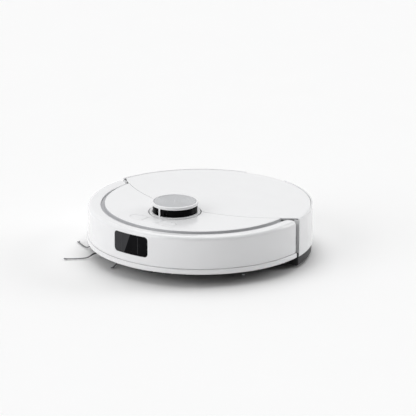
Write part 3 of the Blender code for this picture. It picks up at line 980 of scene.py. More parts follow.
def arc(centre: tuple[float, float], radius: float, start: float, end: float,
        steps: int = 6) -> list[tuple[float, float]]:
    """Points along an arc.

    Args:
        centre: Its centre, as (radius, height).
        radius: Its radius.
        start: First angle in degrees, from the outward direction up.
        end: Last angle in degrees.
        steps: Steps between them.

    Returns:
        The points.
    """
    angles = [math.radians(start + (end - start) * i / steps) for i in range(steps + 1)]
    return [(centre[0] + radius * math.cos(a), centre[1] + radius * math.sin(a)) for a in angles]


def at_bearing(radius: float, degrees: float, centre: Sequence[float] = (0.0, 0.0)) -> tuple[float, float]:
    """A point at a bearing counted from -Y towards +X."""
    angle = math.radians(degrees)
    return centre[0] + radius * math.sin(angle), centre[1] - radius * math.cos(angle)


def round_the_body(radius: float) -> Callable[[Vector], Vector]:
    """A rule that wraps a plate lying in XY round the body's front.

    Args:
        radius: The radius that the plate's top face gets.

    Returns:
        The rule: X runs round the body, Y becomes the height, and Z points outwards.
    """
    def rule(point: Vector) -> Vector:
        """Wraps one point round the body."""
        angle, reach = point.x / radius, radius + point.z
        return Vector((reach * math.sin(angle), -reach * math.cos(angle), point.y))

    return rule


# ---- The finishes in use -----------------------------------------------------------------------
class Paints:
    """Builds each finish once."""

    def __init__(self) -> None:
        """Starts with nothing built."""
        self.built: dict[str, bpy.types.Material] = {}

    def get(self, finish: Finish) -> bpy.types.Material:
        """Builds a finish, or returns it if it is built.

        Args:
            finish: The finish.

        Returns:
            Its material.
        """
        if finish.name not in self.built:
            self.built[finish.name] = finish.build()
        return self.built[finish.name]


WHITE = Moulding("white_gloss", (0.88, 0.883, 0.893))
TRIM = Moulding("white_satin", (0.86, 0.863, 0.873), roughness=0.34, coat=0.2)
GREY_TRIM = Moulding("pale_grey_satin", (0.46, 0.465, 0.48), roughness=0.4, coat=0.1)
GLASS = BlackGlass("infrared_black")
# The front window's lighter patch, given by its tint, is a painted reflection.
WINDOW = BlackGlass("front_window_black", reflection_tint=(0.055, 0.055, 0.058), edge=-0.006, slant=math.radians(-22))
DARK = Texture("dark_grain", (0.028, 0.029, 0.032), 0.55)
GREY = Texture("grey_grain", (0.16, 0.165, 0.175), 0.5)
SOFT_BLACK = Texture("soft_black_rubber", (0.018, 0.018, 0.019), 0.8, 1500.0, 0.00005)
TYRE = Texture("tyre_rubber_grain", (0.022, 0.022, 0.023), 0.85, 1800.0, 0.00006)
STEEL = Plated("zinc_screw", (0.62, 0.63, 0.65))
CONTACT = Plated("contact_plating")
BRISTLE = Fibre("grey_bristle", (0.17, 0.17, 0.18), (0.3, 0.3, 1.0))
FIN = Texture("brush_fin_rubber", (0.09, 0.095, 0.105), 0.7, 900.0, 0.00005)
PILE = LoopPile("mop_loops")
SMOKED = Smoked("smoked_bin")
PAPER = Pleats("pleated_paper")
BOARD = Laminate("green_board")
WRAP = Moulding("battery_blue", (0.03, 0.06, 0.18), roughness=0.4, coat=0.2)


@dataclass
class Assembly:
    """A group of pieces that one body carries."""

    paints: Paints
    body: str = "chassis"

    def fit(self, piece: bpy.types.Object, finish: Finish, slot: Slot, *nodes: str,
            body: Optional[str] = None) -> bpy.types.Object:
        """Dresses a finished piece and hangs it on its body.

        Args:
            piece: The piece.
            finish: Its finish.
            slot: The record's material slot it stands for; not used.
            nodes: The frame nodes that it replaces.
            body: The body it rides on, if not the assembly's own.

        Returns:
            The piece.
        """
        piece.data.materials.clear()
        piece.data.materials.append(self.paints.get(finish))
        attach(piece, body or self.body)
        if nodes:
            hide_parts(*nodes)
        LOG.info("%s rides on %s, %d faces", piece.name, body or self.body, len(piece.data.polygons))
        return piece

    def carry(self, node: str, finish: Finish, slot: Slot, rounding: float = 0.0004,
              body: Optional[str] = None) -> bpy.types.Object:
        """Puts a rounded, dressed copy of a frame node in that node's place.

        Args:
            node: The frame's node.
            finish: The copy's finish.
            slot: The record's material slot.
            rounding: Rounding of its edges.
            body: The body it rides on, if not the assembly's own.

        Returns:
            The piece.
        """
        return self.fit(Bench.from_frame(node, f"{node}_fine", rounding), finish, slot, node, body=body)


# ---- Outer shell -------------------------------------------------------------------------------
@dataclass
class Shell(Assembly):
    """Rear shell, front plate, buttons and lid."""

    groove_r: float = 0.1485
    ledge_r: float = 0.160
    split_r: float = 0.247
    split_y: float = 0.205
    parting: float = 0.00045
    edge: float = 0.0005
    end_deg: float = 97.5
    wall: float = 0.0027
    lid_r: float = 0.1718
    plate_t: float = 0.0025
    rim_r: float = 0.1575
    turret_hole_r: float = 0.041
    notch_w: float = 0.076
    notch_z: float = 0.0747
    overhang: float = 0.0055
    rim_round: float = 0.0019
    hem_round: float = 0.0005
    hem_step: float = 0.0012
    flange_t: float = 0.0025
    end_t: float = 0.0016
    end_top: float = 0.0768
    ledge_z: tuple[float, float] = (0.0722, 0.0752)
    plate_round: float = 0.0008
    groove_slope: float = 0.0017
    # Thickness of the grey sheet that paints shade into the groove.
    shade_sheet_t: float = 0.00012
    lid_slope: tuple[float, float] = (0.030, 0.00025)
    rib_w: float = 0.0012
    rib_h: float = 0.0016
    ribs_x: tuple[float, ...] = (-0.09, -0.045, 0.0, 0.045, 0.09)
    ribs_y: tuple[float, ...] = (0.035, 0.075, 0.115)

    def __post_init__(self) -> None:
        """Reads the sizes that the frame holds."""
        self.low, self.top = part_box("rear_shell")[0][2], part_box("rear_shell")[1][2]
        self.body_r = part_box("bumper")[1][0]
        self.hem = self.low - self.overhang
        self.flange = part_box("chassis_ring")[1][0] + 0.0006
        middle = (Vector(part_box("turret_cap")[0]) + Vector(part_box("turret_cap")[1])) / 2
        self.turret = (0.0, middle.y)

    def splitter(self, name: str, radius: float) -> bpy.types.Object:
        """A wide round block whose wall is the parting line between lid and front plate."""
        low, high = self.top - 0.012, self.top + 0.01
        return Bench.peg(name, radius, (0, self.split_y, low), (0, self.split_y, high), 360)

    def turret_hole(self, name: str) -> bpy.types.Object:
        """The block that clears the turret."""
        x, y = self.turret
        return Bench.peg(name, self.turret_hole_r, (x, y, self.top - 0.02), (x, y, self.top + 0.02), 128)

    def rear_shell(self) -> None:
        """The white wall round the rear half, with its rim, flange and finger notch."""
        outer, inner, top, low = self.body_r, self.body_r - self.wall, self.top, self.low
        skirt, shelf = outer - self.hem_step, low + self.flange_t
        profile = [(inner, top - 0.0003), (inner + 0.0003, top)]
        profile += arc((outer - self.rim_round, top - self.rim_round), self.rim_round, 90, 0, 8)
        profile += arc((outer - self.hem_round, self.hem + self.hem_round), self.hem_round, 0, -90, 3)
        profile += [(skirt, self.hem), (skirt, low), (self.flange, low), (self.flange, shelf), (inner, shelf)]
        shell = Bench.turned("rear_shell_wall", profile, 132, bearings=(self.end_deg, 360 - self.end_deg))
        cuts = [Bench.bar("notch", (-self.notch_w / 2, 0.15, self.notch_z),
                          (self.notch_w / 2, 0.2, top + 0.02), 0.002, 4)]
        for node in ("contact_left", "contact_right", "rear_ir_window"):
            first, second = corners(node)
            margin = Vector((0.0003, 0.0, 0.0003))
            first, second = first - margin, second + margin
            first.y, second.y = 0.165, 0.19
            cuts.append(Bench.bar(f"recess_{node}", first, second, 0.0008, 2))
        Bench.carve(shell, *cuts)
        self.fit(Bench.even(shell), WHITE, Slot.SHELL, "rear_shell")

    def end_walls(self) -> None:
        """The two upright walls that close the rear shell where the bumper's ends meet it."""
        walls = []
        for side in (1, -1):
            start = side * self.end_deg
            x0, y0 = at_bearing(self.flange, start)
            x1, y1 = at_bearing(self.body_r - self.wall + 0.0003, start)
            direction = Vector((x1 - x0, y1 - y0, 0.0))
            plate = Bench.bar(f"end_{side}", (0, 0, self.low + 0.0004),
                              (direction.length, self.end_t, self.end_top), 0.0004)
            if side < 0:
                Bench.move(plate, Matrix.Diagonal((1, -1, 1, 1)))
            turn = Matrix.Rotation(math.atan2(direction.y, direction.x), 4, "Z")
            walls.append(Bench.move(plate, Matrix.Translation((x0, y0, 0)) @ turn))
        self.fit(Bench.join("shell_end_walls", walls), TRIM, Slot.SHELL)

    def front_plate(self) -> None:
        """The fixed top cover in front of the lid, its groove and its button recess."""
        ledge_low, ledge_top = self.ledge_z
        flat_r, inner = self.groove_r - self.plate_round, self.groove_r - 0.002
        bottom = self.top - self.plate_t
        profile = [(0, self.top), (flat_r, self.top)]
        profile += arc((flat_r, self.top - self.plate_round), self.plate_round, 75, 20, 3)
        profile += [(self.groove_r + self.groove_slope, ledge_top), (self.ledge_r, ledge_top)]
        profile += [(self.ledge_r, ledge_low), (inner, ledge_low), (inner, bottom), (0, bottom)]
        plate = Bench.turned("front_cover", profile, 240)
        Bench.carve(plate, self.splitter("split", self.split_r + self.parting), self.turret_hole("hole"),
                    self.button_pocket())
        self.fit(Bench.soften(plate, self.edge), WHITE, Slot.SHELL, "front_plate")

    def groove_shade_sheet(self) -> None:
        """Painted shade: a thin pale grey sheet that lines the front plate's steep edge and its ledge, where
        the rim's shade falls in the groove.
        """
        skin, floor = self.shade_sheet_t, self.ledge_z[1]
        foot, head = self.groove_r + self.groove_slope, self.groove_r + 0.0001
        brow = self.top - 0.0009
        profile = [(head, brow), (foot, floor), (self.rim_r, floor), (self.rim_r, floor + skin),
                   (foot + skin, floor + skin), (head + skin, brow)]
        seal = Bench.turned("groove_painted_shade", profile, 240)
        Bench.carve(seal, self.splitter("split", self.split_r + self.parting))
        self.fit(seal, GREY_TRIM, Slot.TRIM)

    def strip_size(self) -> tuple[float, float, float, float]:
        """Left, right, front and back of the three buttons together."""
        low, high = Vector(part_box("button_spot")[0]), Vector(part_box("button_dock")[1])
        return low.x, high.x, low.y, high.y

    def strip(self, name: str, margin: float, thickness: float, edge: float) -> bpy.types.Object:
        """The long pill that the buttons share.

        Args:
            name: The piece's name.
            margin: How far it is larger than the buttons all round.
            thickness: Its thickness.
            edge: Rounding of its top rim.

        Returns:
            The piece.
        """
        left, right, front, back = self.strip_size()
        width, height = right - left + 2 * margin, back - front + 2 * margin
        pill = Bench.plate(name, width, height, height / 2 - 0.0001, thickness, edge, 12)
        place = Vector(((left + right) / 2, (front + back) / 2, self.top))
        return Bench.move(pill, Matrix.Translation(place))

    def button_pocket(self) -> bpy.types.Object:
        """The block that makes room for the buttons."""
        pill = self.strip("pocket", 0.0003, 0.01, 0.0)
        return Bench.move(pill, Matrix.Translation((0, 0, 0.003)))

    def buttons(self) -> None:
        """Three buttons in one pill, with a shallow dish in each."""
        names = {"power": "button_power", "dock": "button_dock", "spot": "button_spot"}
        for name, node in names.items():
            low, high = corners(node)
            cap = self.strip(f"{name}_button_cap", 0.0, self.top - low.z, 0.0004)
            spare = Vector((0.0, 0.01, 0.01))
            keep = Bench.bar("keep", low - spare, high + spare, 0)
            Bench.carve(cap, keep, operation="INTERSECT")
            middle = (low + high) / 2
            dish = Bench.turned("dish", [(0, 0.003), (0.0052, 0.003), (0.0052, 0.0), (0.003, -0.00025),
                                         (0, -0.0003)], 64, (middle.x, middle.y, self.top + 0.00002))
            Bench.carve(cap, dish)
            self.fit(Bench.even(cap), TRIM, Slot.TRIM, node, body=f"{name}_button")

    def lid(self) -> None:
        """The smooth rear lid that parts from the front plate along one arc."""
        rim, (slope_w, fall) = self.lid_r, self.lid_slope
        profile = [(0, self.top), (rim - slope_w, self.top)]
        profile += [(rim - slope_w * (1 - t), self.top - fall * t * t) for t in (0.25, 0.5, 0.75, 0.93)]
        profile += [(rim - 0.0007, self.top - 0.0005), (rim, self.top - 0.0012),
                    (rim, self.top - self.plate_t), (0, self.top - self.plate_t)]
        lid = Bench.turned("lid_panel", profile, 240)
        Bench.carve(lid, self.splitter("keep", self.split_r - self.parting), operation="INTERSECT")
        Bench.carve(lid, self.turret_hole("hole"))
        self.fit(Bench.soften(lid, self.edge), WHITE, Slot.SHELL, "lid", body="lid")
        for side in ("left", "right"):
            self.carry(f"lid_rail_{side}", GREY, Slot.GREY, 0.0003, body="lid")

    def lid_underside(self) -> None:
        """Stiffening ribs under the lid."""
        ribs = []
        half, bottom = self.rib_w / 2, self.top - self.plate_t
        low, high = bottom - self.rib_h, bottom + 0.0002
        for x in self.ribs_x:
            reach = math.sqrt((self.lid_r - 0.012) ** 2 - x * x)
            ribs.append(Bench.bar("rib", (x - half, 0.0, low), (x + half, reach, high), 0))
        for y in self.ribs_y:
            reach = math.sqrt((self.lid_r - 0.014) ** 2 - y * y)
            ribs.append(Bench.bar("rib", (-reach, y - half, low), (reach, y + half, high), 0))
        self.fit(Bench.join("lid_ribs", ribs), TRIM, Slot.SHELL, body="lid")

    def rear_face(self) -> None:
        """Charging plates and the dark infrared window."""
        for side in ("left", "right"):
            low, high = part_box(f"contact_{side}")
            plate = Bench.bar(f"charging_plate_{side}", low, high, 0.0009, 3)
            self.fit(plate, CONTACT, Slot.CONTACT, f"contact_{side}")
        low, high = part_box("rear_ir_window")
        self.fit(Bench.bar("rear_window", low, high, 0.0012, 3), GLASS, Slot.GLASS, "rear_ir_window")

    def build(self) -> None:
        """Builds the whole shell."""
        self.rear_shell()
        self.end_walls()
        self.front_plate()
        self.groove_shade_sheet()
        self.buttons()
        self.lid()
        self.lid_underside()
        self.rear_face()


# ---- Bumper ------------------------------------------------------------------------------------
@dataclass
class Bumper(Assembly):
    """Front bumper with its lip and the sensor window let into it."""

    body: str = "bumper"
    end_deg: float = 94.3
    wall: float = 0.003
    rim_in: float = 0.155
    round_r: float = 0.0065
    window_corner: float = 0.006
    rim_clear: float = 0.0046
    lip_in: float = 0.170
    lip_round: tuple[float, float] = (0.0013, 0.0022)
    glass_drop: float = 0.0003
    glass_margin: float = -0.0006
    strips_x: tuple[float, ...] = (-0.0170, 0.0145)

    def __post_init__(self) -> None:
        """Reads the sizes that the frame holds."""
        self.low, self.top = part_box("bumper")[0][2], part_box("bumper")[1][2]
        self.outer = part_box("bumper")[1][0]
        self.lip_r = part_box("bumper_lip")[1][0]
        self.lip_z = (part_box("bumper_lip")[0][2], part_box("bumper_lip")[1][2])
        low, high = corners("sensor_window")
        self.window_z = ((low.z + high.z) / 2, high.z - low.z)
        self.window_w = high.x - low.x

    def window_plate(self, name: str, margin: float, radius: float, thickness: float, edge: float = 0.0,
                     rise: float = 0.0) -> bpy.types.Object:
        """A plate of the window's outline, wrapped round the body.

        Args:
            name: The piece's name.
            margin: How far it is larger than the window all round.
            radius: The radius of its outer face.
            thickness: Its thickness.
            edge: Rounding of its outer rim.
            rise: How far it stands out past the radius.

        Returns:
            The piece.
        """
        width, height = self.window_w + 2 * margin, self.window_z[1] + 2 * margin
        plate = Bench.plate(name, width, height, self.window_corner + margin, thickness + rise, edge, 10)
        Bench.slice(plate, (1, 0, 0), [width * (i / 40 - 0.5) for i in range(1, 40)])
        Bench.slice(plate, (0, 1, 0), [height * share for share in (0.40, 0.43, 0.46)])
        Bench.move(plate, Matrix.Translation((0, self.window_z[0], rise)))
        Bench.shape(plate, lambda p: Vector((p.x, p.y, p.z - self.roll_drop(p.y))))
        return Bench.shape(plate, round_the_body(radius))

    def roll_drop(self, height: float) -> float:
        """How far the bumper's wall falls back at a height, where it starts to roll over."""
        above = min(max(0.0, height - (self.top - self.round_r)), self.round_r * 0.8)
        return self.round_r - math.sqrt(self.round_r ** 2 - above ** 2)

    def skin(self) -> None:
        """The bumper's white wall, rolled over at the top into a sloping rim."""
        inner, low = self.outer - self.wall, self.low
        roll = (self.outer - self.round_r, self.top - self.round_r)
        profile = [(self.rim_in, self.top - 0.0022), (self.rim_in + 0.0005, self.top - 0.00165)]
        profile += [(self.rim_in + 0.005, self.top - 0.0007), (roll[0] - 0.001, self.top - 0.00008)]
        profile += arc(roll, self.round_r, 88, 0, 16)
        profile += [(self.outer, low + 0.0006), (self.outer - 0.0006, low), (inner, low)]
        profile += arc(roll, self.round_r - self.wall, 0, 88, 8)
        profile += [(self.rim_in, self.top - 0.0034)]
        skin = Bench.turned("bumper_skin", profile, 150, bearings=(-self.end_deg, self.end_deg))
        splitter = Bench.peg("rim_end", Shell.split_r + self.rim_clear, (0, Shell.split_y, self.top - 0.0052),
                             (0, Shell.split_y, self.top + 0.01), 360)
        Bench.carve(skin, splitter, self.window_plate("opening", 0.0, self.outer + 0.002, 0.008))
        Bench.pick(skin, self.end_face)
        bpy.ops.mesh.bevel(offset=0.0016, segments=4, affect="EDGES")
        self.fit(Bench.even(skin), WHITE, Slot.SHELL, "bumper")

    @staticmethod
    def end_face(face: bpy.types.MeshPolygon) -> bool:
        """Says whether a face is one of the two ends of the bumper's arc."""
        return face.center.y > 0.008 and face.normal.y > 0.98 and face.area > 1e-5

    def lip(self) -> None:
        """The flared band below the bumper's wall, set off by a fine line."""
        inner = self.outer - self.wall
        low, high = self.lip_z
        profile = [(inner, high), (self.outer - 0.0006, high)]
        above, below = self.lip_round
        profile += arc((self.lip_r - above, high - above), above, 80, 0, 5)
        profile += arc((self.lip_r - below, low + below), below, 0, -80, 6)
        profile += [(self.lip_in, low), (self.lip_in, low + 0.0025), (inner, low + 0.004)]
        lip = Bench.turned("bumper_skirt", profile, 150, bearings=(-self.end_deg, self.end_deg))
        Bench.pick(lip, self.end_face)
        bpy.ops.mesh.bevel(offset=0.001, segments=3, affect="EDGES")
        self.fit(Bench.smooth(lip), WHITE, Slot.SHELL, "bumper_lip")

    def window(self) -> None:
        """Black window, its fine seal, and the sensors' dark frames that show in it."""
        face_r = self.outer - self.glass_drop
        glass = self.window_plate("front_window_glass", self.glass_margin, face_r, 0.0026, 0.0005)
        self.fit(Bench.smooth(glass), WINDOW, Slot.GLASS, "sensor_window")
        strips = []
        for x in self.strips_x:
            strip = Bench.plate("strip", 0.0005, self.window_z[1] - 0.0060, 0.0002, 0.0002, 0.0, 2)
            Bench.move(strip, Matrix.Translation((x, self.window_z[0], 0.00012)))
            strips.append(Bench.shape(strip, round_the_body(face_r)))
        self.fit(Bench.join("front_window_strips", strips), DARK, Slot.GLASS)
        seal = self.window_plate("front_window_seal", -0.00005, self.outer - 0.0006, 0.002, 0.0002)
        inside = self.window_plate("seal_inside", self.glass_margin, self.outer + 0.002, 0.008)
        self.fit(Bench.smooth(Bench.carve(seal, inside)), SOFT_BLACK, Slot.DARK)
        self.carry("sensor_module", DARK, Slot.DARK)

    def build(self) -> None:
        """Builds the bumper."""
        self.skin()
        self.lip()
        self.window()


# ---- Turret ------------------------------------------------------------------------------------
@dataclass
class Turret(Assembly):
    """Laser turret: a cover on three struts, a spun metal disc and the spinning black head."""

    body: str = "turret_cover"
    strut_bearings: tuple[float, ...] = (-4.0, 116.0, -124.0)
    strut_r: tuple[float, float] = (0.0348, 0.0359)
    strut_w: float = 0.0032
    ring_in: float = 0.0349
    eye_x: float = 0.0085
    eye_r: float = 0.0036

    def __post_init__(self) -> None:
        """Reads the sizes that the frame holds."""
        low, high = corners("turret_cap")
        self.centre = (0.0, (low.y + high.y) / 2, 0.0)
        self.cap_r = (high.x - low.x) / 2
        self.cap_low, self.cap_top = low.z, high.z
        self.ring_low, self.ring_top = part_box("turret_ring")[0][2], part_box("turret_ring")[1][2]

    def cover(self) -> None:
        """The cap with its seat for the disc."""
        r, low, top = self.cap_r, self.cap_low, self.cap_top
        seat = r - 0.0028
        profile = [(0, top - 0.0016), (seat, top - 0.0016), (seat, top - 0.0004)]
        profile += arc((seat + 0.0004, top - 0.0004), 0.0004, 180, 90, 3)
        profile += arc((r - 0.0013, top - 0.0013), 0.0013, 90, 0, 8)
        profile += arc((r - 0.0005, low + 0.0005), 0.0005, 0, -90, 3)
        profile += [(0, low)]
        self.fit(Bench.turned("turret_cover_cap", profile, 144, self.centre), TRIM, Slot.TRIM, "turret_cap")

    def foot(self) -> None:
        """The foot ring and the struts between it and the cap."""
        low, top = self.ring_low, self.ring_top
        ring_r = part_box("turret_ring")[1][0]
        profile = [(self.ring_in, top), (ring_r - 0.0014, top)]
        profile += arc((ring_r - 0.0010, top - 0.0010), 0.0010, 80, 0, 5)
        profile += [(ring_r, low), (self.ring_in, low)]
        self.fit(Bench.turned("turret_foot_ring", profile, 144, self.centre), TRIM, Slot.TRIM, "turret_ring")
        (inner, outer), half = self.strut_r, self.strut_w / 2
        for number, bearing in enumerate(self.strut_bearings, 1):
            strut = Bench.bar(f"turret_post_{number}", (-half, -outer, self.ring_top - 0.0001),
                              (half, -inner, self.cap_low + 0.0001), 0.0003, 3)
            turn = Matrix.Translation(self.centre) @ Matrix.Rotation(math.radians(bearing), 4, "Z")
            self.fit(Bench.move(strut, turn), TRIM, Slot.TRIM, f"turret_strut_{number}")

    def disc(self) -> None:
        """The spun metal disc: bevelled rim and a small centre dimple."""
        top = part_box("turret_disc")[1][2]
        r = (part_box("turret_disc")[1][0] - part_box("turret_disc")[0][0]) / 2
        profile = [(0, top - 0.00055), (0.0009, top - 0.0005), (0.0018, top - 0.0002), (0.0026, top)]
        profile += [(0.0026 + (r - 0.0040) * i / 12, top) for i in range(1, 12)]
        profile += [(r - 0.0009, top), (r, top - 0.0006), (r, top - 0.0009), (0, top - 0.0009)]
        disc = Bench.turned("turret_metal_disc", profile, 180, self.centre)
        metal = SpunMetal("spun_aluminium", (0.0, self.centre[1], top))
        self.fit(disc, metal, Slot.METAL, "turret_disc")

    def head(self) -> None:
        """The spinning black head with its two round eyes."""
        low, high = corners("lidar_head")
        r = (high.x - low.x) / 2
        eye_y = self.centre[1] - math.sqrt(r * r - self.eye_x ** 2)
        profile = [(0, high.z), (r - 0.0012, high.z)]
        profile += arc((r - 0.0010, high.z - 0.0010), 0.0010, 85, 0, 5)
        profile += [(r, low.z + 0.0026), (r - 0.001, low.z + 0.0022), (0.0140, low.z), (0, low.z)]
        head = Bench.turned("laser_head", profile, 144, self.centre)
        eye_z = (high.z + low.z) / 2 + 0.0015
        eyes = []
        for x in (-self.eye_x, self.eye_x):
            start, end = (x, eye_y - 0.004, eye_z), (x, eye_y + 0.0022, eye_z)
            eyes.append(Bench.peg("eye", self.eye_r, start, end, 40))
        self.fit(Bench.smooth(Bench.carve(head, *eyes)), GLASS, Slot.GLASS, "lidar_head", body="lidar")
        lenses = []
        for x in (-self.eye_x, self.eye_x):
            lens = Bench.turned("lens", [(0, 0.0016), (0.0018, 0.0011), (0.0030, 0.0), (0, 0.0)], 40)
            stand = Matrix.Translation((x, eye_y + 0.0021, eye_z)) @ Matrix.Rotation(math.pi / 2, 4, "X")
            lenses.append(Bench.move(lens, stand))
        self.fit(Bench.join("laser_lenses", lenses), GLASS, Slot.GLASS, body="lidar")
        self.carry("lidar_base", DARK, Slot.DARK, body="chassis")

    def build(self) -> None:
        """Builds the turret."""
        self.cover()
        self.foot()
        self.disc()
        self.head()


# ---- Screws and side brush ---------------------------------------------------------------------
@dataclass
class Screw(Assembly):
    """Cross-recessed pan screws that face the floor."""

    radius: float = 0.0030

    def add(self, name: str, place: Sequence[float]) -> None:
        """Adds one screw.

        Args:
            name: The piece's name.
            place: The middle of its head's lowest face.
        """
        radius = self.radius
        profile = [(0, radius * 0.7), (radius, radius * 0.7)]
        profile += [(radius * math.cos(a), radius * 0.45 * (1 - math.sin(a) * 0.99)) for a in
                    (0.2, 0.5, 0.8, 1.1, 1.4)]
        profile += [(0, 0)]
        head = Bench.turned(name, profile, 32)
        arm, slit = radius * 0.55, radius * 0.12
        first = Bench.bar("slot", (-arm, -slit, -0.01), (arm, slit, radius * 0.3), 0)
        second = Bench.bar("slot", (-slit, -arm, -0.01), (slit, arm, radius * 0.3), 0)
        Bench.carve(head, first, second)
        self.fit(Bench.move(Bench.smooth(head), Matrix.Translation(place)), STEEL, Slot.GREY)


@dataclass
class SideBrush(Assembly):
    """Side brush: a hub with rubber stubs, each holding a bundle of bristles that fans at its tip."""

    body: str = "side_brush"
    arms: int = 5
    first_deg: float = 23.5
    reach: float = 0.0748
    sweep: tuple[float, float] = (5.0, 23.6)
    sweep_from: float = 0.030
    sweep_over: float = 0.044
    floor_gap: float = 0.0017
    droop: float = 0.0067
    droop_at: float = 0.0365
    droop_over: float = 0.0026
    fibres: int = 26
    fan: float = 0.0022

    def __post_init__(self) -> None:
        """Reads the sizes that the frame holds."""
        low, high = corners("side_brush_hub")
        self.centre = ((low.x + high.x) / 2, (low.y + high.y) / 2, 0.0)
        self.hub_r, self.low = (high.x - low.x) / 2, low.z
        self.stem_top = high.z

    def path(self, share: float, across: float = 0.0, above: float = 0.0) -> Vector:
        """A point on or beside a bundle's middle line, which sweeps back and droops to the floor.

        Args:
            share: 0 at the root and 1 at the tip.
            across: Distance beside the line.
            above: Distance above it.

        Returns:
            The point, for an arm that points along +X.
        """
        root = self.hub_r - 0.001
        reach = root + share * (self.reach - root)
        along = max(0.0, (reach - self.sweep_from) / self.sweep_over)
        swept = self.sweep[0] + self.sweep[1] * along ** 0.75
        turn = math.radians(self.first_deg - swept)
        height = self.floor_gap + self.droop / (1 + math.exp((reach - self.droop_at) / self.droop_over))
        x, y = reach * math.cos(turn), reach * math.sin(turn)
        return Vector((x - across * math.sin(turn), y + across * math.cos(turn), height + above))

    def limb(self, name: str, start: float, end: float, radii: tuple[float, float], flat: float,
             sides: int, cuts: int, swing: float = 0.0) -> bpy.types.Object:
        """A bar that follows the bundle's curve between two shares of its length.

        Args:
            name: The piece's name.
            start: Share of the arm at which it starts.
            end: Share at which it ends.
            radii: Half widths at the start and the end.
            flat: Height as a share of the width.
            sides: Sides of its section.
            cuts: Cuts along it.
            swing: How far the end fans sideways, in metres.

        Returns:
            The piece.
        """
        bar = Bench.peg(name, 1.0, (0, 0, 0), (1, 0, 0), sides)
        Bench.slice(bar, (1, 0, 0), [i / (cuts + 1) for i in range(1, cuts + 1)])

        def rule(point: Vector) -> Vector:
            """Lays one point of the bar along the bundle's curve.

            Args:
                point: A point of the straight bar.

            Returns:
                Its place on the arm.
            """
            along = min(1.0, max(0.0, point.x))
            half = radii[0] + (radii[1] - radii[0]) * along
            across = point.y * half + swing * along ** 1.4
            return self.path(start + (end - start) * along, across, point.z * half * flat)

        return Bench.shape(bar, rule)

    def arm(self) -> list[bpy.types.Object]:
        """One arm along +X: stub, bundle and fan.

        Returns:
            The stub, then the bundle with its fan.
        """
        stub = self.limb("stub", 0.0, 0.42, (0.0027, 0.0015), 0.5, 16, 10)
        bundle = self.limb("bundle", 0.38, 0.93, (0.0012, 0.0011), 0.75, 12, 18)
        hairs = []
        for i in range(self.fibres):
            side = (i / (self.fibres - 1) - 0.5) * 2
            layer = 0.0003 * ((i * 7) % 5 - 2) / 2
            end = 1.0 - 0.008 * ((i * 3) % 4)
            hair = self.limb("hair", 0.88, end, (0.00026, 0.00018), 1.0, 4, 3, self.fan * side)
            hairs.append(Bench.move(hair, Matrix.Translation((0, 0.0008 * side, layer))))
        return [stub, Bench.join("tuft", [bundle, *hairs])]

    def build(self) -> None:
        """Builds the brush's arms, its hub with a screw, and the motor above it."""
        stub, tuft = self.arm()
        places = []
        for number in range(self.arms):
            heading = math.radians(-90 - self.first_deg - 360 / self.arms * number)
            places.append(Matrix.Translation(self.centre) @ Matrix.Rotation(heading, 4, "Z"))
        for number, copy in enumerate(Bench.spread(tuft, places), 1):
            copy.name = copy.data.name = f"bristle_bundle_{number}"
            self.fit(copy, BRISTLE, Slot.BRISTLE, f"side_brush_arm_{number}")
        self.fit(Bench.copies(stub, places, "brush_stubs"), SOFT_BLACK, Slot.GREY)
        r, low = self.hub_r, self.low
        profile = [(0, self.stem_top), (0.0029, self.stem_top), (0.0029, 0.0112), (r - 0.0008, 0.0110)]
        profile += arc((r - 0.0010, 0.0100), 0.0010, 80, 0, 4)
        profile += [(r, low + 0.0018), (r - 0.0018, low)]
        profile += [(0.0040, low), (0.0036, low + 0.0012), (0, low + 0.0012)]
        hub = Bench.turned("brush_hub", profile, 72, self.centre)
        self.fit(hub, GREY, Slot.GREY, "side_brush_hub")
        screw = Screw(self.paints, self.body)
        screw.add("brush_hub_screw", (*self.centre[:2], low + 0.0002))
        self.carry("side_brush_motor", GREY, Slot.GREY, body="chassis")


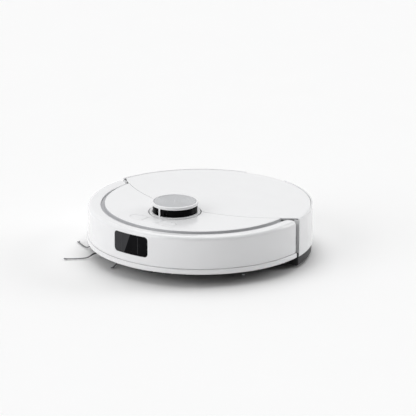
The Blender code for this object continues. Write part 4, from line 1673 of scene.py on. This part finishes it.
# ---- Wheels ------------------------------------------------------------------------------------
@dataclass
class DriveWheel(Assembly):
    """A driven wheel with a chevron tread, a dished rim and its motor arm."""

    side: str = "left"
    lugs: int = 30
    lug_h: float = 0.0014
    lug_half: float = 0.0011
    lug_slope: float = 0.35
    seat_r: float = 0.0263
    shoulder: float = 0.0022
    spokes: int = 6

    def __post_init__(self) -> None:
        """Reads the sizes that the frame holds."""
        self.body = f"{self.side}_wheel"
        low, high = corners(f"wheel_tyre_{self.side}")
        self.middle = (low + high) / 2
        self.radius, self.half = (high.z - low.z) / 2, (high.x - low.x) / 2
        self.sign = 1 if self.middle.x > 0 else -1

    def tyre(self) -> None:
        """Tyre with raised chevron lugs."""
        r, half, shoulder = self.radius - self.lug_h, self.half, self.shoulder
        flank = [(self.seat_r, half - 0.0006)]
        flank += arc((r - shoulder, half - shoulder), shoulder, 80, 0, 5)
        profile = flank + [(radius, -height) for radius, height in reversed(flank)]
        tyre = Bench.turned("tyre_body", profile, 120, self.middle, Axis.X)
        wide, low, high = self.lug_half, r - 0.0008, self.radius
        lug = Bench.bar("lug", (-half + 0.0012, -wide, low), (-0.0002, wide, high), 0.0004, 1)
        other = Bench.bar("lug", (0.0002, -wide, low), (half - 0.0012, wide, high), 0.0004, 1)
        for part, slope in ((lug, self.lug_slope), (other, -self.lug_slope)):
            Bench.shape(part, lambda p, s=slope: Vector((p.x, p.y + s * p.x + 0.0018, p.z)))
        chevron = Bench.join("chevron", [lug, other])
        places = [Matrix.Translation(self.middle) @ Matrix.Rotation(2 * math.pi * i / self.lugs, 4, "X")
                  for i in range(self.lugs)]
        tread = Bench.copies(chevron, places, "tread")
        Bench.shape(tread, self.within_tyre)
        whole = Bench.join(f"wheel_tread_{self.side}", [tyre, tread])
        self.fit(whole, TYRE, Slot.TYRE, f"wheel_tyre_{self.side}")

    def within_tyre(self, point: Vector) -> Vector:
        """Keeps a lug's corners inside the tyre's radius.

        Args:
            point: A point of a lug.

        Returns:
            The point, moved towards the axle where it stood out.
        """
        offset = point - self.middle
        reach = math.hypot(offset.y, offset.z)
        scale = min(1.0, (self.radius - 0.00002) / reach)
        return Vector((point.x, self.middle.y + offset.y * scale, self.middle.z + offset.z * scale))

    def rim(self) -> None:
        """Dished rim with six spokes and a hub cap."""
        half, s = self.half - 0.001, self.sign
        profile = [(0, half - 0.0040), (0.0075, half - 0.0040), (0.0090, half - 0.0070)]
        profile += [(0.0205, half - 0.0070), (0.0225, half - 0.0012), (0.0235, half - 0.0004)]
        profile += [(0.0255, half - 0.0004), (0.0260, half - 0.001), (0.0260, -half)]
        profile += [(0.0050, -half), (0.0050, -half - 0.0036), (0, -half - 0.0036)]
        rim = Bench.turned("rim_body", [(r, z * s) for r, z in profile], 96, self.middle, Axis.X)
        face = s * (half - 0.0045)
        low, high = sorted((s * (half - 0.0072), face))
        spoke = Bench.bar("spoke", (low, -0.0016, 0.0080), (high, 0.0016, 0.0222), 0.0005, 2)
        places = [Matrix.Translation(self.middle) @ Matrix.Rotation(2 * math.pi * i / self.spokes, 4, "X")
                  for i in range(self.spokes)]
        spokes = Bench.copies(spoke, places, "spokes")
        self.fit(Bench.join(f"wheel_rim_face_{self.side}", [rim, spokes]), GREY, Slot.GREY,
                 f"wheel_rim_{self.side}")

    def build(self) -> None:
        """Builds the wheel and dresses its arm and bracket."""
        self.tyre()
        self.rim()
        self.carry(f"suspension_arm_{self.side}", GREY, Slot.GREY, 0.0012, body=f"{self.side}_suspension")
        self.carry(f"suspension_bracket_{self.side}", DARK, Slot.DARK, 0.0005, body="chassis")


# ---- Underside ---------------------------------------------------------------------------------
@dataclass
class Underside(Assembly):
    """Base pan, brush cover, caster, floor sensors, screws, main brush and mop."""

    edge_z: tuple[float, float] = (0.0105, 0.0200)
    edge_in: float = 0.1492
    slope_z: float = 0.0168
    sensors: tuple[str, ...] = tuple(f"cliff_sensor_{side}_{number}" for side in ("left", "right")
                                     for number in (1, 2))
    sensor_hole_r: float = 0.0054
    screw_spots: tuple[tuple[float, float], ...] = (
        (0.070, -0.128), (-0.066, -0.134), (0.140, -0.075), (0.112, 0.051), (-0.112, 0.051),
        (0.060, 0.005), (-0.060, 0.005),
    )
    fins: int = 6
    fin_foot: float = 0.0100
    fin_turn_deg: float = 75.0
    fin_lean: float = 0.25
    tuft_h: float = 0.00022
    tufts: float = 900.0

    def pan(self) -> None:
        """Base pan with its sloped edge, the chassis ring, the brush housing and the duct."""
        pan = Bench.from_frame("base_pan", "base_pan_fine", 0.0)
        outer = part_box("base_pan")[1][0]
        low, high = self.edge_z
        section = [(self.edge_in, low), (outer, low), (outer, high), (self.edge_in, high)]
        thick = Bench.turned("edge", section, 180)
        Bench.carve(pan, thick, operation="UNION")
        slope = Bench.turned("slope", [(0.1445, 0.0099), (0.1495, 0.0112), (outer + 0.0002, self.slope_z),
                                       (0.1700, self.slope_z), (0.1700, 0.0050), (0.1445, 0.0050)], 180)
        holes = []
        for node in self.sensors:
            low, high = corners(node)
            x, y = ((low + high) / 2).xy
            holes.append(Bench.peg("hole", self.sensor_hole_r, (x, y, 0.005), (x, y, 0.0199), 40))
        Bench.carve(pan, slope, *holes)
        self.fit(Bench.soften(pan, 0.0005), DARK, Slot.DARK, "base_pan")
        self.carry("chassis_ring", DARK, Slot.DARK, 0.0004)
        self.carry("brush_housing", GREY, Slot.GREY, 0.0008)
        self.carry("suction_duct", DARK, Slot.DARK, 0.0006)

    def brush_cover(self) -> None:
        """Frame over the main brush with its two thumb latches."""
        self.carry("brush_cover", GREY, Slot.GREY, 0.0005)
        low, high = corners("brush_cover")
        latches = []
        for x in (-0.055, 0.055):
            latches.append(Bench.bar("latch", (x - 0.008, high.y - 0.0068, low.z - 0.0008),
                                     (x + 0.008, high.y - 0.0014, low.z + 0.001), 0.0007, 3))
        self.fit(Bench.join("brush_cover_latches", latches), DARK, Slot.GREY)

    def main_brush(self) -> None:
        """Main brush with V-shaped rubber fins and end bearings."""
        low, high = corners("main_brush")
        middle, radius, half = (low + high) / 2, (high.y - low.y) / 2, (high.x - low.x) / 2
        core = Bench.turned("core", [(0, half - 0.001), (0.0085, half - 0.001), (0.0108, half - 0.004),
                                     (0.0108, 0.004 - half), (0.0085, 0.001 - half), (0, 0.001 - half)],
                            48, middle, Axis.X)
        fin = Bench.bar("fin", (-half + 0.002, -0.0009, self.fin_foot),
                        (half - 0.002, 0.0009, radius - 0.0002), 0.0004, 1)
        Bench.slice(fin, (1, 0, 0), [half * (i / 24 - 1) for i in range(1, 48)])

        def spiral(point: Vector) -> Vector:
            """Turns one point of a fin about the axle, more towards the brush's ends.

            Args:
                point: A point of the straight fin.

            Returns:
                Its place on the V-shaped fin.
            """
            swing = math.radians(self.fin_turn_deg) * abs(point.x) / half
            lean = self.fin_lean * (point.z - self.fin_foot) / self.fin_foot
            return Matrix.Rotation(swing + lean, 3, "X") @ point

        Bench.shape(fin, spiral)
        places = [Matrix.Translation(middle) @ Matrix.Rotation(2 * math.pi * i / self.fins, 4, "X")
                  for i in range(self.fins)]
        fins = Bench.copies(fin, places, "fins")
        brush = Bench.join("main_brush_roller", [core, fins])
        self.fit(Bench.smooth(brush), FIN, Slot.BRUSH, "main_brush", body="main_brush")
        caps = [Bench.peg("cap", 0.0072, (side * (half - 0.0012), middle.y, middle.z),
                          (side * (half + 0.0022), middle.y, middle.z), 40, 0.0005) for side in (1, -1)]
        self.fit(Bench.join("main_brush_bearings", caps), GREY_TRIM, Slot.BRUSH, body="main_brush")

    def caster(self) -> None:
        """Caster with its roller."""
        self.carry("caster_socket", DARK, Slot.DARK, 0.0004)
        self.carry("caster_fork", GREY, Slot.GREY, 0.0004, body="caster")
        low, high = corners("caster_wheel")
        middle, radius, half = (low + high) / 2, (high.z - low.z) / 2, 0.0070
        profile = [(0, half + 0.0034), (0.0014, half + 0.0034), (0.0014, half), (radius - 0.0022, half)]
        profile += arc((radius - 0.0018, half - 0.0018), 0.0018, 80, 0, 5)
        profile += [(r, -z) for r, z in reversed(profile)]
        roller = Bench.turned("caster_roller", profile, 72, middle, Axis.X)
        self.fit(roller, TYRE, Slot.TYRE, "caster_wheel", body="caster_roller")

    def floor_sensors(self) -> None:
        """Four dark sensor lenses, each in a raised ring."""
        rings = []
        profile = [(0.0053, 0.0008), (0.0066, 0.0008), (0.0069, 0.0002),
                   (0.0066, -0.0003), (0.0056, -0.0003), (0.0053, 0.0)]
        for node in self.sensors:
            low, high = corners(node)
            x, y = ((low + high) / 2).xy
            name = node.replace("cliff_sensor", "floor")
            lens = Bench.peg(f"{name}_lens", 0.0049, (x, y, low.z), (x, y, high.z), 48, 0.0006)
            self.fit(lens, GLASS, Slot.GLASS, node)
            rings.append(Bench.turned("ring", profile, 48, (x, y, 0.010)))
        self.fit(Bench.join("floor_sensor_rings", rings), GREY, Slot.DARK)

    def screws(self) -> None:
        """Screws that hold the pan and the brush cover."""
        screw = Screw(self.paints)
        for number, (x, y) in enumerate(self.screw_spots, 1):
            screw.add(f"pan_screw_{number}", (x, y, 0.0093))

    def mop(self) -> None:
        """Mop bracket and the padded cloth under it."""
        self.carry("mop_bracket", DARK, Slot.DARK, 0.0008)
        cloth_low, cloth_high = corners("mop_cloth")
        cloth = Bench.from_frame("mop_cloth", "mop_pad", 0.0)
        Bench.apply(cloth, "REMESH", mode="VOXEL", voxel_size=0.0016)
        bottom, top = cloth_low.z, cloth_high.z

        def loft(point: Vector) -> Vector:
            """Raises the cloth's lower face in small tufts.

            Args:
                point: A point of the flat cloth.

            Returns:
                Its place on the tufted cloth.
            """
            wave = self.tuft_h * math.sin(point.x * self.tufts) * math.sin(point.y * self.tufts)
            lift = wave if point.z < (bottom + top) / 2 else 0.0
            return Vector((point.x, point.y, min(top, max(bottom, point.z + lift))))

        Bench.shape(cloth, loft)
        self.fit(Bench.smooth(cloth, 60.0), PILE, Slot.MOP, "mop_cloth")

    def build(self) -> None:
        """Builds the underside."""
        self.pan()
        self.brush_cover()
        self.main_brush()
        self.caster()
        self.floor_sensors()
        self.screws()
        self.mop()


# ---- Inside ------------------------------------------------------------------------------------
@dataclass
class Inside(Assembly):
    """What the open lid shows, and the parts below it."""

    def deck(self) -> None:
        """The inner deck round the dust bin."""
        self.carry("inner_deck", GREY, Slot.GREY, 0.0005)

    def dust_bin(self) -> None:
        """Dust bin with a grip bar between two seam strips, and its filter."""
        self.carry("dust_bin", SMOKED, Slot.SMOKED, 0.0014)
        self.carry("filter", PAPER, Slot.FILTER, 0.0005)
        low, high = corners("dust_bin")
        middle = (low + high) / 2
        bars = [
            Bench.bar("bar", (low.x + 0.012, middle.y - 0.006, high.z - 0.0002),
                      (high.x - 0.012, middle.y + 0.006, high.z + 0.0014), 0.0012, 3),
            Bench.bar("bar", (low.x + 0.004, low.y + 0.004, high.z - 0.0002),
                      (high.x - 0.004, low.y + 0.010, high.z + 0.0008), 0.0004, 2),
            Bench.bar("bar", (low.x + 0.004, high.y - 0.010, high.z - 0.0002),
                      (high.x - 0.004, high.y - 0.004, high.z + 0.0008), 0.0004, 2),
        ]
        self.fit(Bench.join("dust_bin_handle", bars), GREY_TRIM, Slot.GREY)

    def electrics(self) -> None:
        """Battery, main board with its parts, and the fan."""
        self.carry("battery", WRAP, Slot.BATTERY, 0.003)
        self.carry("main_board", BOARD, Slot.BOARD, 0.0002)
        low, high = corners("main_board")
        chips = []
        for column in range(6):
            for row in range(3):
                x = low.x + 0.010 + column * 0.018
                y = low.y + 0.008 + row * 0.017
                size = 0.0022 + 0.0011 * ((column * 2 + row) % 4)
                chips.append(Bench.bar("chip", (x - size, y - size, high.z - 0.0001),
                                       (x + size, y + size * 0.8, high.z + 0.0008 + size / 4), 0.0002, 1))
        self.fit(Bench.join("board_chips", chips), DARK, Slot.BOARD)
        self.carry("fan_housing", DARK, Slot.DARK, 0.0005)
        self.carry("fan_impeller", GREY_TRIM, Slot.GREY, 0.0002, body="fan")

    def build(self) -> None:
        """Builds the inside."""
        self.deck()
        self.dust_bin()
        self.electrics()


# ---- Studio ------------------------------------------------------------------------------------
@dataclass
class Studio:
    """Camera, soft lights and a pale floor."""

    azimuth: float = 37.46
    elevation: float = 17.8
    distance: float = 4.49
    focal: float = 248.5
    right: float = 0.0119
    up: float = 0.0659
    air: tuple[float, float] = (0.76, 0.02)
    dark_bearing: float = 62.0
    dark_rise: float = math.radians(13.9)
    dark_spread: tuple[float, float] = (-0.1, 0.8)
    suns: tuple[tuple[str, float, float, float, float], ...] = (
        ("left_key", -22.0, 24.0, 46.0, 0.95),
        ("right_rim", 142.0, 24.0, 24.0, 0.66),
        ("overhead", -150.0, 76.0, 60.0, 1.15),
    )

    def camera(self) -> None:
        """Puts the camera at the viewing angle."""
        az, el = math.radians(self.azimuth), math.radians(self.elevation)
        back = Vector((math.sin(az) * math.cos(el), -math.cos(az) * math.cos(el), math.sin(el)))
        right = Vector((math.cos(az), math.sin(az), 0.0))
        up = back.cross(right)
        data = bpy.data.cameras.new("studio_camera")
        data.lens, data.sensor_width = self.focal, 36.0
        data.clip_start, data.clip_end = 0.01, 50.0
        camera = bpy.data.objects.new("studio_camera", data)
        camera.location = right * self.right + up * self.up + back * self.distance
        camera.rotation_euler = Matrix((right, up, back)).transposed().to_euler()
        bpy.context.scene.collection.objects.link(camera)
        bpy.context.scene.camera = camera

    def sun(self, name: str, bearing: float, elevation: float, spread: float, strength: float) -> None:
        """Adds a broad, even light from far away.

        Args:
            name: The light's name.
            bearing: Where it stands, counted from -Y towards +X, in degrees.
            elevation: Its height above the horizon in degrees.
            spread: Its width in the sky in degrees.
            strength: Its strength.
        """
        b, e = math.radians(bearing), math.radians(elevation)
        direction = Vector((math.sin(b) * math.cos(e), -math.cos(b) * math.cos(e), math.sin(e)))
        data = bpy.data.lights.new(name, "SUN")
        data.energy, data.angle = strength, math.radians(spread)
        light = bpy.data.objects.new(name, data)
        light.rotation_euler = direction.to_track_quat("Z", "Y").to_euler()
        bpy.context.scene.collection.objects.link(light)

    def world(self) -> None:
        """Pale light from all round that fades towards one side."""
        world = bpy.data.worlds.new("studio_air")
        bpy.context.scene.world = world
        world.use_nodes = True
        tree = world.node_tree
        angle = math.radians(self.dark_bearing)
        source = tree.nodes.new("ShaderNodeTexCoord")
        toward = tree.nodes.new("ShaderNodeVectorMath")
        toward.operation = "DOT_PRODUCT"
        level, lift = math.cos(self.dark_rise), math.sin(self.dark_rise)
        toward.inputs[1].default_value = (math.sin(angle) * level, -math.cos(angle) * level, lift)
        fade = tree.nodes.new("ShaderNodeMapRange")
        ends = (*self.dark_spread, *self.air)
        for key, value in zip(("From Min", "From Max", "To Min", "To Max"), ends):
            fade.inputs[key].default_value = value
        tree.nodes["Background"].inputs["Color"].default_value = (1.0, 1.0, 1.0, 1.0)
        tree.links.new(source.outputs["Generated"], toward.inputs[0])
        tree.links.new(toward.outputs["Value"], fade.inputs["Value"])
        tree.links.new(fade.outputs["Result"], tree.nodes["Background"].inputs["Strength"])

    def floor(self, paints: Paints) -> None:
        """Adds the pale floor.

        Args:
            paints: The finishes.
        """
        Bench.rest()
        bpy.ops.mesh.primitive_plane_add(size=14.0, location=(0, 0, -0.0004))
        floor = Bench.begin("studio_floor")
        floor.data.materials.append(paints.get(Moulding("pale_floor", (0.93, 0.93, 0.93), 0.95, 0.0, 0.004)))

    def build(self, paints: Paints) -> None:
        """Sets up the studio.

        Args:
            paints: The finishes.
        """
        view = bpy.context.scene.view_settings
        view.view_transform, view.look, view.exposure = "Standard", "None", 0.0
        self.camera()
        self.world()
        self.floor(paints)
        for values in self.suns:
            self.sun(*values)


def main() -> None:
    """Builds every sub-assembly and the studio."""
    logging.basicConfig(level=logging.INFO, format="%(name)s: %(message)s")
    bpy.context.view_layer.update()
    Bench.rest()
    paints = Paints()
    assemblies: list[Assembly] = [
        Shell(paints), Bumper(paints), Turret(paints), SideBrush(paints),
        DriveWheel(paints, side="left"), DriveWheel(paints, side="right"),
        Underside(paints), Inside(paints),
    ]
    for assembly in assemblies:
        assembly.build()
        LOG.info("%s built", type(assembly).__name__)
    Studio().build(paints)
    Bench.rest()


if __name__ == "__main__":
    main()
